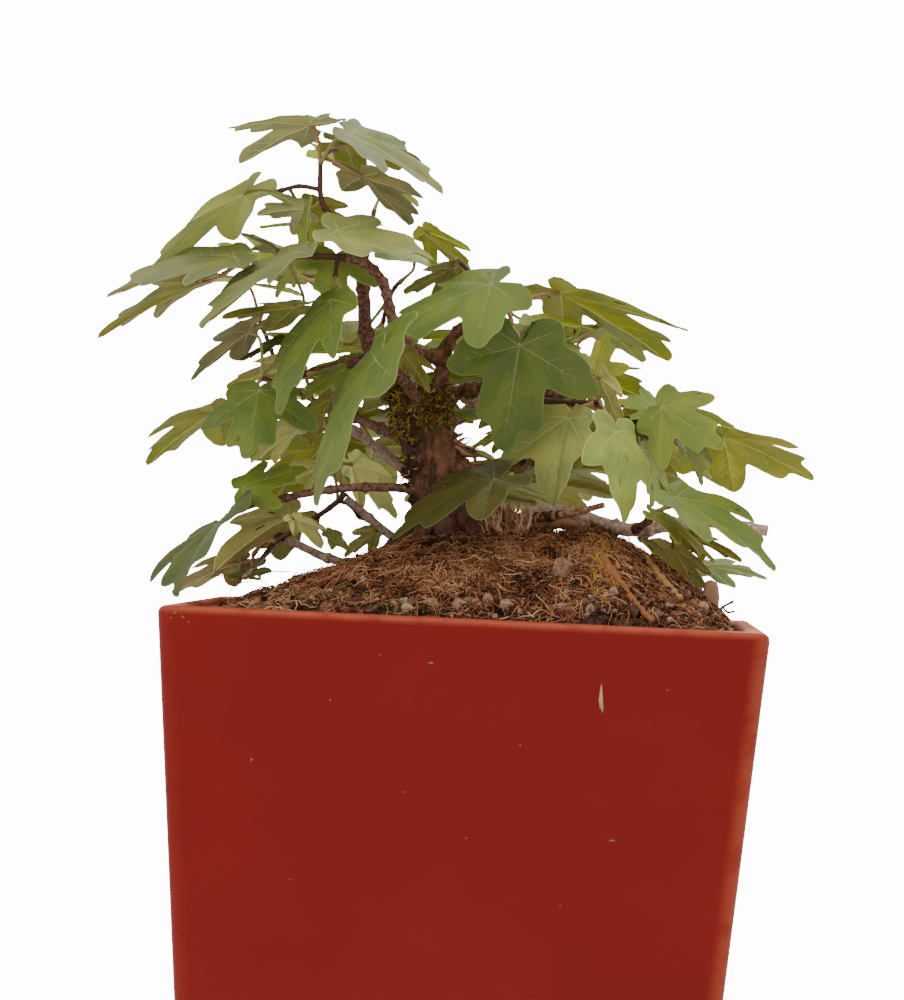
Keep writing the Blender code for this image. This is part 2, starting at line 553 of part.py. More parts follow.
# Masses of foliage. Each has the limb whose tip carries it, the places its stem passes, and its leaves:
# the pixels of foot, tip and two side lobes, the foot's depth, and the face that shows (-1 is the underside).
MASSES = {
    "foliage_apex": ("limb_apex", [(336, 222, 0), (321, 200, -2), (320, 163, -3)], [
        ((309, 124), (229, 127), (237, 160), (330, 116), -5, -1),
        ((352, 133), (444, 195), (404, 142), (385, 177), -10, 1),
        ((345, 143), (428, 178), (405, 147), (352, 173), 10, -1),
        ((243, 192), (144, 276), (176, 232), (222, 249), 12, -1),
        ((363, 176), (411, 227), (336, 181), (423, 200), 2, -1),
        ((304, 208), (256, 214), (272, 193), (290, 231), 0, -1),
        ((309, 207), (362, 240), (350, 206), (318, 254), 10, -1),
        ((337, 231), (433, 260), (375, 216), (366, 262), -16, 1),
        ((306, 244), (304, 195), (296, 222), (312, 222), -6, 1),
    ]),
    "foliage_upper_left": ("limb_ringed", [(322, 256, -8), (296, 256, -8), (262, 262, -6)], [
        ((297, 252), (198, 331), (212, 290), (266, 290), -24, 1),
        ((234, 257), (105, 297), (165, 254), (194, 291), -6, 1),
        ((198, 282), (97, 337), (150, 285), (151, 320), 12, -1),
        ((332, 300), (279, 417), (266, 366), (338, 363), -28, 1),
        ((335, 257), (325, 308), (297, 269), (378, 286), -2, 1),
        ((277, 249), (240, 233), (250, 246), (258, 236), 10, -1),
        ((301, 264), (276, 298), (268, 280), (287, 290), 4, -1),
        ((296, 306), (221, 318), (260, 328), (262, 304), 0, -1),
    ]),
    "foliage_upper_middle": ("limb_upper_right", [(500, 300, -9), (474, 276, -4), (460, 262, 0)], [
        ((427, 231), (471, 276), (473, 252), (432, 263), 4, -1),
        ((452, 268), (404, 293), (424, 271), (430, 301), 2, -1),
        ((491, 285), (382, 337), (440, 284), (481, 355), -30, 1),
        ((560, 293), (668, 361), (685, 331), (566, 332), 4, -1),
        ((530, 320), (593, 331), (557, 316), (554, 332), -10, 1),
        ((519, 346), (501, 453), (447, 366), (597, 394), -30, 1),
        ((524, 338), (592, 365), (572, 334), (540, 365), -10, 1),
    ]),
    "foliage_right": ("limb_knobbed", [(552, 402, -6), (580, 404, -12), (600, 402, -16)], [
        ((569, 418), (554, 507), (493, 470), (592, 470), -20, 1),
        ((616, 432), (622, 524), (583, 464), (650, 484), -24, 1),
        ((594, 372), (600, 334), (580, 356), (629, 367), 2, -1),
        ((600, 378), (622, 430), (588, 405), (622, 396), 2, -1),
        ((602, 421), (581, 459), (580, 435), (605, 443), 2, -1),
        ((500, 412), (452, 416), (474, 406), (480, 430), -2, 1),
        ((508, 432), (474, 447), (486, 434), (492, 452), 6, -1),
    ]),
    "foliage_far_right": ("limb_far_right", [(640, 424, 7), (664, 416, 5), (700, 424, 3)], [
        ((661, 408), (722, 449), (714, 396), (662, 469), -6, 1),
        ((723, 437), (815, 481), (793, 446), (735, 493), 0, -1),
        ((676, 436), (701, 486), (684, 460), (714, 461), 8, 1),
        ((656, 410), (616, 402), (640, 388), (630, 420), -8, 1),
        ((624, 426), (660, 437), (650, 417), (638, 449), 2, 1),
        ((646, 450), (651, 508), (634, 482), (668, 488), -4, 1),
        ((652, 474), (712, 506), (686, 483), (664, 500), 2, 1),
    ]),
    "foliage_right_low": ("spur_right", [(656, 514, -8), (664, 508, -9), (676, 505, -10)], [
        ((676, 498), (773, 571), (757, 517), (704, 542), -24, 1),
        ((656, 517), (714, 563), (684, 529), (676, 545), -14, 1),
    ]),
    "foliage_right_rear": ("spur_right_rear", [(690, 527, 24), (695, 531, 28), (694, 537, 32)], [
        ((684, 534), (741, 562), (714, 540), (702, 560), 12, -1),
        ((673, 547), (700, 600), (648, 576), (710, 574), 34, -1),
        ((704, 566), (765, 579), (735, 561), (733, 587), 38, 1),
        ((640, 538), (662, 551), (648, 536), (652, 552), 24, -1),
    ]),
    "foliage_left": ("limb_left", [(292, 376, -4), (276, 382, -4), (262, 378, -2)], [
        ((247, 331), (191, 380), (217, 338), (232, 358), 2, -1),
        ((288, 366), (226, 388), (260, 361), (270, 391), 10, -1),
        ((214, 412), (145, 466), (150, 436), (214, 441), 4, -1),
        ((259, 391), (245, 459), (202, 430), (317, 432), -16, 1),
        ((342, 371), (302, 400), (311, 375), (343, 398), -6, 1),
        ((298, 428), (250, 464), (270, 428), (270, 461), 12, -1),
        ((330, 398), (311, 446), (300, 424), (334, 421), 2, -1),
        ((280, 340), (240, 361), (258, 344), (262, 357), 6, 1),
    ]),
    "foliage_low_left": ("bough_low_left", [(250, 506, -12), (236, 512, -13), (226, 516, -14)], [
        ((215, 526), (178, 595), (148, 583), (254, 510), -20, 1),
        ((243, 487), (306, 469), (262, 462), (282, 509), -18, 1),
    ]),
    "foliage_low_rear": ("bough_grey", [(338, 501, 9), (319, 515, 9), (276, 541, 10)], [
        ((290, 516), (213, 572), (236, 520), (276, 560), 12, -1),
        ((320, 468), (272, 488), (294, 463), (306, 492), 18, -1),
        ((294, 518), (322, 550), (292, 536), (329, 531), 16, -1),
        ((352, 464), (396, 518), (394, 478), (358, 508), 22, -1),
        ((240, 562), (172, 594), (198, 566), (230, 588), 34, -1),
        ((330, 534), (350, 553), (341, 534), (333, 549), 22, 1),
        ((376, 530), (345, 557), (354, 532), (370, 553), 34, -1),
    ]),
    "foliage_ground": ("bough_ground", [(272, 546, 22), (262, 558, 6), (254, 566, -14)], [
        ((250, 577), (203, 577), (226, 570), (226, 595), -27, 1),
        ((250, 574), (294, 572), (262, 558), (272, 588), -30, 1),
    ]),
    "foliage_front": ("limb_front", [(390, 358, -27), (396, 350, -28), (401, 346, -29)], [
        ((376, 360), (316, 511), (342, 410), (408, 388), -36, 1),
        ((404, 352), (428, 391), (402, 378), (437, 372), -4, -1),
    ]),
    "foliage_front_low": ("limb_front_low", [(528, 464, -20), (522, 470, -24), (512, 474, -27)], [
        ((494, 481), (392, 542), (434, 487), (486, 522), -26, 1),
    ]),
}


# Rear masses, grown by a seeded rule inside a ball: the limb, the ball's middle and radius, and its leaves
REAR = {
    "foliage_rear_top": ("limb_rear_top", (366, 262, 48), 38, 9),
    "foliage_rear_right": ("limb_rear_right", (560, 370, 52), 40, 8),
    "foliage_rear_left": ("limb_rear_left", (280, 384, 52), 42, 8),
    "foliage_rear_low": ("limb_rear_low", (440, 440, 62), 40, 8),
}
# The crown's outline in the photograph, and the sky that shows through it: middle and radius in pixels
CROWN = [(236, 120), (345, 108), (445, 195), (480, 270), (620, 292), (688, 340), (640, 378), (722, 392),
         (820, 490), (775, 575), (700, 600), (560, 530), (250, 555), (150, 595), (150, 400), (95, 340),
         (110, 280), (235, 185)]
SKY = [(337, 190, 12), (302, 176, 12), (482, 440, 16), (386, 510, 16), (400, 520, 16), (360, 545, 18),
       (380, 275, 14), (200, 350, 30), (215, 480, 25), (250, 300, 14), (180, 460, 50)]
# Depths in millimetres that a leaf tries when its own place is taken
SHIFTS = [0, -3, 3, -6, 6, -9, 9, -13, 13, -17, 17, -22, 22]
# How many places the seeded rule may try in a rear mass, and the step between the masses' leaf seeds
ATTEMPTS = 400
SEED_STEP = 100


class Room:
    """What is already placed, so that a new leaf or twig can be tested against it."""

    def __init__(self):
        self.blades = []
        self.wood = []

    @staticmethod
    def tree(points, faces):
        return BVHTree.FromPolygons(points, faces)

    def blade_tree(self, points):
        fan = [(k, (k + 1) % RING, RING) for k in range(RING)]
        fan += [(k, (k + 1) % RING, RING + 1) for k in range(RING)]
        return self.tree(points, fan)

    def wood_tree(self, route, radii):
        points, faces = [], []
        for place, ahead, radius in zip(route, route[1:] + [2 * route[-1] - route[-2]], radii):
            way = (ahead - place).normalized()
            one = way.orthogonal().normalized() * radius
            two = way.cross(one)
            points += [place + one * math.cos(a) + two * math.sin(a) for a in (0, 1.571, 3.142, 4.712)]
        for ring in range(len(route) - 1):
            for side in range(4):
                a, b = 4 * ring + side, 4 * ring + (side + 1) % 4
                faces.append((a, b, b + 4, a + 4))
        return self.tree(points, faces)

    def hits(self, new, old):
        return any(new.overlap(other) for other in old)


def clear_of_pot(points):
    """True where no point is in the soil, in the pot or beside its wall."""
    for place in points:
        if place.z < mound(place.x, place.y) + MM and max(abs(place.x), abs(place.y)) < RIM_WIDTH / 2:
            return False
        if place.z < POT_HEIGHT + MM and max(abs(place.x), abs(place.y)) < RIM_WIDTH / 2 + 2 * MM:
            return False
    return True


def inside(px, py, outline):
    """True where a pixel is inside a closed outline."""
    odd = False
    for (ax, ay), (bx, by) in zip(outline, outline[1:] + outline[:1]):
        if (ay > py) != (by > py) and px < ax + (py - ay) * (bx - ax) / (by - ay):
            odd = not odd
    return odd


def clear_of_sky(points):
    """True where every point shows inside the crown and none covers a gap in it."""
    for place in points:
        way = (place - EYE) / (place.y - EYE.y)
        across = way.x * FOCAL + LEVEL_PIXEL[0]
        down = LEVEL_PIXEL[1] - way.z * FOCAL
        px = across - TILT * (down - TURN_PIXEL[1])
        py = down + TILT * (px - TURN_PIXEL[0])
        if not inside(px, py, CROWN) or any(math.hypot(px - x, py - y) < radius for x, y, radius in SKY):
            return False
    return True


def near_wood(place, skeleton):
    return min(skeleton, key=lambda spot: (spot - place).length)


def grow_leaf(mass, frame, form, room, skeleton, strict):
    """Adds a leaf with its petiole, and a twig where the stem is too far, if all of it is clear."""
    start = near_wood(frame[0], skeleton)
    twig = None
    if (start - frame[0]).length > REACH:
        end = frame[0] + (start - frame[0]).normalized() * PETIOLE
        twig = twig_route(start, end)
        start = end
    stalk = stalk_route(start, frame)
    points = blade_points(frame, form, 1.06)
    if not clear_of_pot(points + stalk[1:]):
        return False
    if strict and not clear_of_sky(points):
        return False
    leaf_tree = room.blade_tree(points)
    radius = PETIOLE_RADIUS + GAP
    stalk_tree = room.wood_tree(stalk, [radius] * 3)
    others = [tree for owner, tree in room.wood if owner != mass["name"]]
    own = [tree for owner, tree in room.wood if owner == mass["name"]]
    if room.hits(leaf_tree, room.blades) or room.hits(leaf_tree, others + own):
        return False
    if room.hits(stalk_tree, room.blades) or room.hits(stalk_tree, others):
        return False
    if twig:
        twig_tree = room.wood_tree(twig, [TWIG_RADIUS + GAP] * 3)
        if room.hits(twig_tree, room.blades) or room.hits(twig_tree, others) or twig_tree.overlap(leaf_tree):
            return False
        room.wood.append((mass["name"], twig_tree))
        mass["twigs"].append(twig)
        skeleton += smooth(twig, 4)[1:]
    room.wood.append((mass["name"], stalk_tree))
    room.blades.append(leaf_tree)
    mass["leaves"].append((frame, form, stalk))
    return True


def start_mass(name, limb, places, room):
    """The mass's stem, which starts one gap past its limb's tip."""
    route = limb_route(limb)
    way = (route[-1] - route[-2]).normalized()
    first = route[-1] + way * GAP
    stem = smooth([first, first + way * (places[0] - first).length / 3] + places, 3)
    width = LIMBS[limb][1] * MM
    radii = tapered(width, TWIG_RADIUS, len(stem))
    room.wood.append((name, room.wood_tree(stem, [r + GAP for r in radii])))
    return {"name": name, "stem": stem, "radii": radii, "twigs": [], "leaves": []}


def rear_leaf(pick, centre, radius):
    """A leaf anywhere in a rear mass's ball, which hangs outward from the tree."""
    while True:
        spot = Vector([pick.uniform(-1, 1) for _ in range(3)])
        if 0.35 < spot.length < 1:
            break
    root = centre + spot * radius * 0.8
    outward = (root - seen(430, 420, 0)).normalized()
    droop = Vector((pick.uniform(-0.5, 0.5), pick.uniform(-0.2, 0.6), pick.uniform(-0.7, 0.0)))
    axis = (outward + droop).normalized()
    up = Vector((0.3 * outward.x, 0.5, 1))
    normal = (up - axis * up.dot(axis)).normalized()
    return root, axis, normal.cross(axis), normal, pick.uniform(24, 33) * MM


def plan_tree():
    """Works out every stem, twig, petiole and leaf before anything is modelled."""
    room = Room()
    for name in LIMBS:
        room.wood.append((name, room.wood_tree(limb_route(name), [r + GAP for r in limb_radii(name)])))
    trunk_route = [seen(*place) for place in TRUNK]
    room.wood.append(("trunk", room.wood_tree(trunk_route, [(r + 1) * MM for r in TRUNK_RADII])))
    masses = []
    for name, (limb, places, _) in MASSES.items():
        masses.append(start_mass(name, limb, [seen(*place) for place in places], room))
    for name, (limb, centre, radius, _) in REAR.items():
        masses.append(start_mass(name, limb, [seen(*centre)], room))
    for order, mass in enumerate(masses):
        skeleton = list(mass["stem"][3:])
        if mass["name"] in MASSES:
            for number, leaf in enumerate(MASSES[mass["name"]][2]):
                for shift in SHIFTS:
                    form = leaf_form(SEED_STEP * order + number)
                    if grow_leaf(mass, leaf_frame(leaf, shift, form), form, room, skeleton, False):
                        break
        else:
            centre, radius, count = REAR[mass["name"]][1:]
            pick = random.Random(order)
            for attempt in range(ATTEMPTS):
                frame = rear_leaf(pick, seen(*centre), radius * MM)
                form = leaf_form(SEED_STEP * order + attempt)
                if len(mass["leaves"]) < count:
                    grow_leaf(mass, frame, form, room, skeleton, True)
    return masses


def foliage(mass, collection):
    """One mass: its stem, twigs, petioles and leaves joined by a single union."""
    stem = tube(mass["name"], mass["stem"], mass["radii"], collection, 6)
    pieces = [strand("twig", twig, TWIG_RADIUS, collection) for twig in mass["twigs"]]
    for frame, form, stalk in mass["leaves"]:
        pieces.append(strand("petiole", stalk, PETIOLE_RADIUS, collection))
        pieces.append(blade(blade_points(frame, form), collection))
    return combine(stem, pieces, "UNION")


def main():
    for old in list(bpy.data.objects):
        bpy.data.objects.remove(old)
    bonsai = new_collection("bonsai")
    cutters = new_collection("cutters")
    vessel = pot(bonsai)
    heap = soil(bonsai)
    stem = trunk("trunk", bonsai)
    wood = [stem]
    for number, name in enumerate(LIMBS):
        sides = 8 if LIMBS[name][0] > STOUT else 6
        limb = tube(name, limb_route(name), limb_radii(name), bonsai, sides)
        earlier = ["trunk"] + list(LIMBS)[:number]
        combine(limb, [fattened(other, cutters) for other in earlier], "DIFFERENCE")
        wood.append(limb)
    combine(heap, [fattened(name, cutters) for name in LOW_WOOD], "DIFFERENCE")
    masses = [foliage(mass, bonsai) for mass in plan_tree()]
    finish("red_glaze", (0.26, 0.017, 0.009), 0.25, vessel)
    finish("brown_soil", (0.055, 0.02, 0.01), 0.95, heap)
    finish("bark", (0.06, 0.03, 0.018), 0.85, *wood)
    finish("leaf_green", (0.16, 0.2, 0.05), 0.55, *masses)


main()
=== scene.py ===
import json
import math
import random

import bmesh
import bpy
from mathutils import Matrix, Vector, noise
from mathutils.bvhtree import BVHTree

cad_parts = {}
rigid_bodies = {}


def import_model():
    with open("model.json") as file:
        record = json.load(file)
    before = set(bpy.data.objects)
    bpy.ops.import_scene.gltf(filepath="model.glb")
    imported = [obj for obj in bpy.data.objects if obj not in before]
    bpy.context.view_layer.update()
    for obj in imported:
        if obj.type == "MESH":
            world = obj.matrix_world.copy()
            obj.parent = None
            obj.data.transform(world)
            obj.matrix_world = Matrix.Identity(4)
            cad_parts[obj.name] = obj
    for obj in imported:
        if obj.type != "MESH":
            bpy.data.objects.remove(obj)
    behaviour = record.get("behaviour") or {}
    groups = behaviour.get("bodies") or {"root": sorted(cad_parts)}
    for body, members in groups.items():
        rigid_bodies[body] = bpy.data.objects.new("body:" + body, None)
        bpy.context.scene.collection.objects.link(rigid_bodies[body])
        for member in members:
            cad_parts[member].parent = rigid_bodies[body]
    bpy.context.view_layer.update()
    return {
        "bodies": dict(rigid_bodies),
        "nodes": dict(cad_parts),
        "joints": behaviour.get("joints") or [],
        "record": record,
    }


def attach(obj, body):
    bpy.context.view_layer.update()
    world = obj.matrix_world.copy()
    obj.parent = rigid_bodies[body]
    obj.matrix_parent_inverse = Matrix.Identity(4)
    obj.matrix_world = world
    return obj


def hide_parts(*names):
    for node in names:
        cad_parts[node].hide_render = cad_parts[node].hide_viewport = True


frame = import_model()
MM = 0.001

# The view
# The photograph is taken from a metre away, a little above the rim and turned by under three degrees.
# A pixel and a depth behind the pot's middle give a place in space.
EYE = Vector((37.6, -1097.0, 192.3)) * MM
FOCAL = 4132.0
LEVEL_PIXEL = (620.5, 528)
TILT = 0.0463
TURN_PIXEL = (452, 500)
PHOTO_HEIGHT = 1000
SENSOR = 36


def ray(px, py):
    """Direction from the eye through a pixel, one unit long in Y."""
    across = px + TILT * (py - TURN_PIXEL[1]) - LEVEL_PIXEL[0]
    down = py - TILT * (px - TURN_PIXEL[0]) - LEVEL_PIXEL[1]
    return Vector((across / FOCAL, 1, -down / FOCAL))


def seen(px, py, depth=0):
    """Place that shows at a pixel, at a depth in millimetres."""
    return EYE + ray(px, py) * (depth * MM - EYE.y)


def held(name, data, place, way):
    """An object that holds a camera or a lamp and looks one way."""
    holder = bpy.data.objects.new(name, data)
    bpy.context.scene.collection.objects.link(holder)
    holder.matrix_world = Matrix.Translation(place) @ way.to_track_quat("-Z", "Y").to_matrix().to_4x4()
    return holder


lens = bpy.data.cameras.new("camera")
lens.sensor_width = SENSOR
lens.lens = SENSOR * FOCAL / PHOTO_HEIGHT
lens.clip_start = 0.01
camera = held("camera", lens, EYE, ray(*TURN_PIXEL).normalized())
camera.matrix_world = camera.matrix_world @ Matrix.Rotation(math.atan(TILT), 4, "Z")
bpy.context.scene.camera = camera

bpy.ops.object.select_all(action="DESELECT")
bpy.ops.mesh.primitive_circle_add(vertices=96, radius=0.4, fill_type="NGON")
floor = bpy.context.object
floor.name = "floor"
pale = bpy.data.materials.new("pale_floor")
pale.use_nodes = True
pale.node_tree.nodes["Principled BSDF"].inputs["Base Color"].default_value = (0.9, 0.9, 0.9, 1)
pale.node_tree.nodes["Principled BSDF"].inputs["Roughness"].default_value = 0.9
floor.data.materials.append(pale)

# Soft lamps: place, size and power
LIT = Vector((0, 0, 0.2))
LAMPS = {"overhead": ((-0.35, -0.35, 1.5), 1.3, 6), "front_left": ((-1.2, -1.3, 0.9), 1.0, 4),
         "front_right": ((1.3, -1.0, 0.7), 1.0, 3), "back": ((0.3, 1.4, 1.1), 1.0, 4)}
for name, (place, size, power) in LAMPS.items():
    lamp = bpy.data.lights.new(name, "AREA")
    lamp.size = size
    lamp.energy = power
    held(name, lamp, place, LIT - Vector(place))

# The room: the camera sees it white, and it lights the object less strongly
ROOM_LIGHT = 0.95
ROOM_SEEN = 14.0
world = bpy.data.worlds.new("room")
bpy.context.scene.world = world
world.use_nodes = True
room_nodes = world.node_tree.nodes
room_links = world.node_tree.links
dim = room_nodes["Background"]
bright = room_nodes.new("ShaderNodeBackground")
for shade, strength in ((dim, ROOM_LIGHT), (bright, ROOM_SEEN)):
    shade.inputs["Color"].default_value = (1, 1, 1, 1)
    shade.inputs["Strength"].default_value = strength
path = room_nodes.new("ShaderNodeLightPath")
choose = room_nodes.new("ShaderNodeMixShader")
room_links.new(path.outputs["Is Camera Ray"], choose.inputs["Fac"])
room_links.new(dim.outputs["Background"], choose.inputs[1])
room_links.new(bright.outputs["Background"], choose.inputs[2])
room_links.new(choose.outputs["Shader"], room_nodes["World Output"].inputs["Surface"])

# The pot
# A tapered square pot of fired clay with a deep red glaze, which breaks to orange along the rim and corners;
# that orange also holds a painted highlight, strongest on the right corners.
# It was pressed or slab built: flat sides, rounded corners, a rolled rim, bare clay inside, four drain holes.
RIM_WIDTH = 152.4 * MM
POT_HEIGHT = 170 * MM
SIDE_LEAN = 0.08
WALL = 6 * MM
FLOOR = 9 * MM
CORNER_RADIUS = 3.4 * MM
INNER_CORNER = 2 * MM
LIP_RADIUS = 2.2 * MM
FOOT_EDGE = 1.5 * MM
DRAIN_RADIUS = 4 * MM
DRAIN_PLACE = 24 * MM

bpy.ops.object.select_all(action="DESELECT")
bpy.ops.mesh.primitive_cube_add(size=1, location=(0, 0, POT_HEIGHT / 2))
pot = bpy.context.object
pot.name = "glazed_pot"
bpy.ops.transform.resize(value=(RIM_WIDTH, RIM_WIDTH, POT_HEIGHT))
bpy.ops.object.transform_apply(location=True, rotation=True, scale=True)


def select_where(piece, kind, test):
    """Selects a piece's faces or edges by a test, with everything else deselected."""
    bpy.ops.object.mode_set(mode="EDIT")
    bpy.ops.mesh.select_mode(type=kind)
    bpy.ops.mesh.select_all(action="DESELECT")
    bm = bmesh.from_edit_mesh(piece.data)
    for part in (bm.faces if kind == "FACE" else bm.edges):
        if test(part):
            part.select_set(True)
    bmesh.update_edit_mesh(piece.data)


def level(edge, height):
    return all(abs(v.co.z - height) < 0.1 * MM for v in edge.verts)


select_where(pot, "FACE", lambda f: f.normal.z < -0.9)
foot_share = 1 - 2 * SIDE_LEAN * POT_HEIGHT / RIM_WIDTH
bpy.ops.transform.resize(value=(foot_share, foot_share, 1))
select_where(pot, "FACE", lambda f: f.normal.z > 0.9)
bpy.ops.mesh.inset(thickness=WALL)
bpy.ops.mesh.extrude_region_move(TRANSFORM_OT_translate={"value": (0, 0, FLOOR - POT_HEIGHT)})
INNER = RIM_WIDTH / 2 - WALL
floor_share = (INNER - SIDE_LEAN * (POT_HEIGHT - FLOOR)) / INNER
bpy.ops.transform.resize(value=(floor_share, floor_share, 1))


def upright(edge):
    return abs(edge.verts[0].co.z - edge.verts[1].co.z) > POT_HEIGHT / 2


def outer(edge):
    return max(abs(v.co.x) for v in edge.verts) > RIM_WIDTH / 2 - MM


def half_at(height):
    """Half the pot's outer width at a height."""
    return RIM_WIDTH / 2 - SIDE_LEAN * (POT_HEIGHT - height)


def off_middle(x, y):
    """How far a place lies off the pot's middle, square to the wall nearest to it."""
    return max(abs(x), abs(y))


select_where(pot, "EDGE", lambda e: upright(e) and not outer(e))
bpy.ops.mesh.bevel(offset=INNER_CORNER, segments=4, affect="EDGES")
select_where(pot, "EDGE", lambda e: upright(e) and outer(e))
bpy.ops.mesh.bevel(offset=CORNER_RADIUS, segments=6, affect="EDGES")
select_where(pot, "EDGE", lambda e: level(e, POT_HEIGHT) and not e.is_boundary
             and any(abs(f.normal.z) < 0.5 for f in e.link_faces))
bpy.ops.mesh.bevel(offset=LIP_RADIUS, segments=4, affect="EDGES")
select_where(pot, "EDGE", lambda e: level(e, 0) and any(abs(f.normal.z) < 0.5 for f in e.link_faces))
bpy.ops.mesh.bevel(offset=FOOT_EDGE, segments=3, affect="EDGES")
bpy.ops.object.mode_set(mode="OBJECT")

for side in (-1, 1):
    for row in (-1, 1):
        bpy.ops.object.select_all(action="DESELECT")
        bpy.ops.mesh.primitive_cylinder_add(vertices=24, radius=DRAIN_RADIUS, depth=4 * FLOOR,
                                            location=(side * DRAIN_PLACE, row * DRAIN_PLACE, 0))
        drill = bpy.context.object
        cut = pot.modifiers.new("drain", "BOOLEAN")
        cut.object = drill
        cut.solver = "EXACT"
        bpy.context.view_layer.objects.active = pot
        bpy.ops.object.modifier_apply(modifier="drain")
        bpy.data.objects.remove(drill)


class Flow:
    """A socket of a material. Arithmetic on it adds Math nodes, and node() adds any other."""

    def __init__(self, tree, out=None):
        self.tree = tree
        self.out = out

    def node(self, kind, settings, inputs, output=0):
        made = self.tree.nodes.new("ShaderNode" + kind)
        for name, value in settings.items():
            setattr(made, name, value)
        for name, value in inputs.items():
            if isinstance(value, Flow):
                self.tree.links.new(value.out, made.inputs[name])
            else:
                made.inputs[name].default_value = value
        return Flow(self.tree, made.outputs[output])

    def math(self, operation, *values):
        return self.node("Math", {"operation": operation}, dict(enumerate(values)))

    def __add__(self, other):
        return self.math("ADD", self, other)

    __radd__ = __add__

    def __sub__(self, other):
        return self.math("SUBTRACT", self, other)

    def __rsub__(self, other):
        return self.math("SUBTRACT", other, self)

    def __mul__(self, other):
        return self.math("MULTIPLY", self, other)

    __rmul__ = __mul__

    def most(self, other):
        return self.math("MAXIMUM", self, other)

    def along(self, axis):
        """The piece's own coordinate along X, Y or Z, as 0, 1 or 2."""
        return self.node("SeparateXYZ", {}, {"Vector": self.node("TexCoord", {}, {}, 3)}, axis)

    def rise(self, low, high):
        """0 below one value and 1 above the other, smooth between."""
        return self.node("MapRange", {"interpolation_type": "SMOOTHSTEP"},
                         {"Value": self, "From Min": low, "From Max": high})

    def tint(self, first, second):
        """A colour between two, mixed by this value."""
        sides = [(*c, 1) if isinstance(c, tuple) else c for c in (first, second)]
        return self.node("Mix", {"data_type": "RGBA"}, {0: self, 6: sides[0], 7: sides[1]}, 2)

    def grain(self, scale, detail=4.0, roughness=0.55, stretch=None):
        """Noise in object space, in cycles a metre."""
        place = self.node("TexCoord", {}, {}, 3)
        if stretch:
            place = self.node("Mapping", {}, {"Vector": place, "Scale": stretch})
        return self.node("TexNoise", {}, {"Vector": place, "Scale": scale, "Detail": detail,
                                          "Roughness": roughness})


def srgb(red, green, blue):
    """A colour of the photograph as scene light."""
    return tuple((c / 255 / 12.92 if c / 255 <= 0.04045 else ((c / 255 + 0.055) / 1.055) ** 2.4)
                 for c in (red, green, blue))


def finish_of(name, constants):
    """A Principled material with its constant values set on the shader's own sockets."""
    paint = bpy.data.materials.new(name)
    paint.use_nodes = True
    shader = paint.node_tree.nodes["Principled BSDF"]
    for socket, value in constants.items():
        shader.inputs[socket].default_value = (*value, 1) if socket == "Base Color" else value
    return paint, Flow(paint.node_tree), shader


def plain(name, color, roughness=0.8, specular=0.2):
    """A plain finish for small things joined in one mesh."""
    return finish_of(name, {"Base Color": color, "Roughness": roughness, "Specular IOR Level": specular})[0]


def feed(flow, shader, **links):
    """Joins what varies over a surface to the shader: base, roughness or a bump height."""
    for name, value in links.items():
        if name == "bump":
            height, strength, distance = value
            value = flow.node("Bump", {}, {"Height": height, "Strength": strength, "Distance": distance})
            flow.tree.links.new(value.out, shader.inputs["Normal"])
        else:
            socket = {"base": "Base Color", "roughness": "Roughness"}[name]
            flow.tree.links.new(value.out, shader.inputs[socket])


# Red glaze: a deep red body, mottled a little, with orange where it runs thin at the rim and corners.
# The orange is partly this thin glaze and partly a painted highlight: the corners' orange is faint at the
# left and clear at the right.
glaze, flow, shader = finish_of("red_glaze", {"Roughness": 0.3, "Specular IOR Level": 0.2, "Metallic": 0.0})
x, y, z = [flow.along(axis) for axis in range(3)]
half_width = z * SIDE_LEAN + (RIM_WIDTH / 2 - SIDE_LEAN * POT_HEIGHT)
from_side = half_width - x.math("ABSOLUTE", x)
from_front = half_width - y.math("ABSOLUTE", y)
corner = 1 - from_side.most(from_front).rise(1.2 * MM, 5.0 * MM)
rim = z.rise(POT_HEIGHT - 2.4 * MM, POT_HEIGHT - 0.4 * MM)
# Painted highlight: the corners' orange rises from faint at the left to clear at the right, on top of the
# thin glaze's orange at the rim, which also stands in part for a highlight along the lip.
thin_and_highlight = rim.most(corner * (x.rise(-72 * MM, -50 * MM) * 0.55 + 0.1))
cloud = flow.grain(22, 3.0, 0.5).rise(0.35, 0.65)
fine = flow.grain(900, 3.0, 0.6)
body = cloud.tint((0.2, 0.0045, 0.002), (0.225, 0.0055, 0.0025))
thin_and_highlight = thin_and_highlight * (flow.grain(160, 3.0, 0.6).rise(0.25, 0.6) * 0.6 + 0.4)
feed(flow, shader, base=thin_and_highlight.tint(body, (0.42, 0.07, 0.026)), roughness=fine * 0.12 + 0.26,
     bump=(flow.grain(45, 3.0, 0.5) + fine * 0.05, 0.25, 0.4 * MM))

# Bare clay inside the pot, under it and in the holes
clay, flow, shader = finish_of("bare_clay", {"Specular IOR Level": 0.0})
spread = flow.grain(140, 4.0, 0.6)
feed(flow, shader, base=spread.rise(0.3, 0.7).tint((0.6, 0.27, 0.18), (0.75, 0.38, 0.27)),
     roughness=spread * 0.2 + 0.7, bump=(flow.grain(1500, 4.0, 0.6), 0.4, 0.3 * MM))
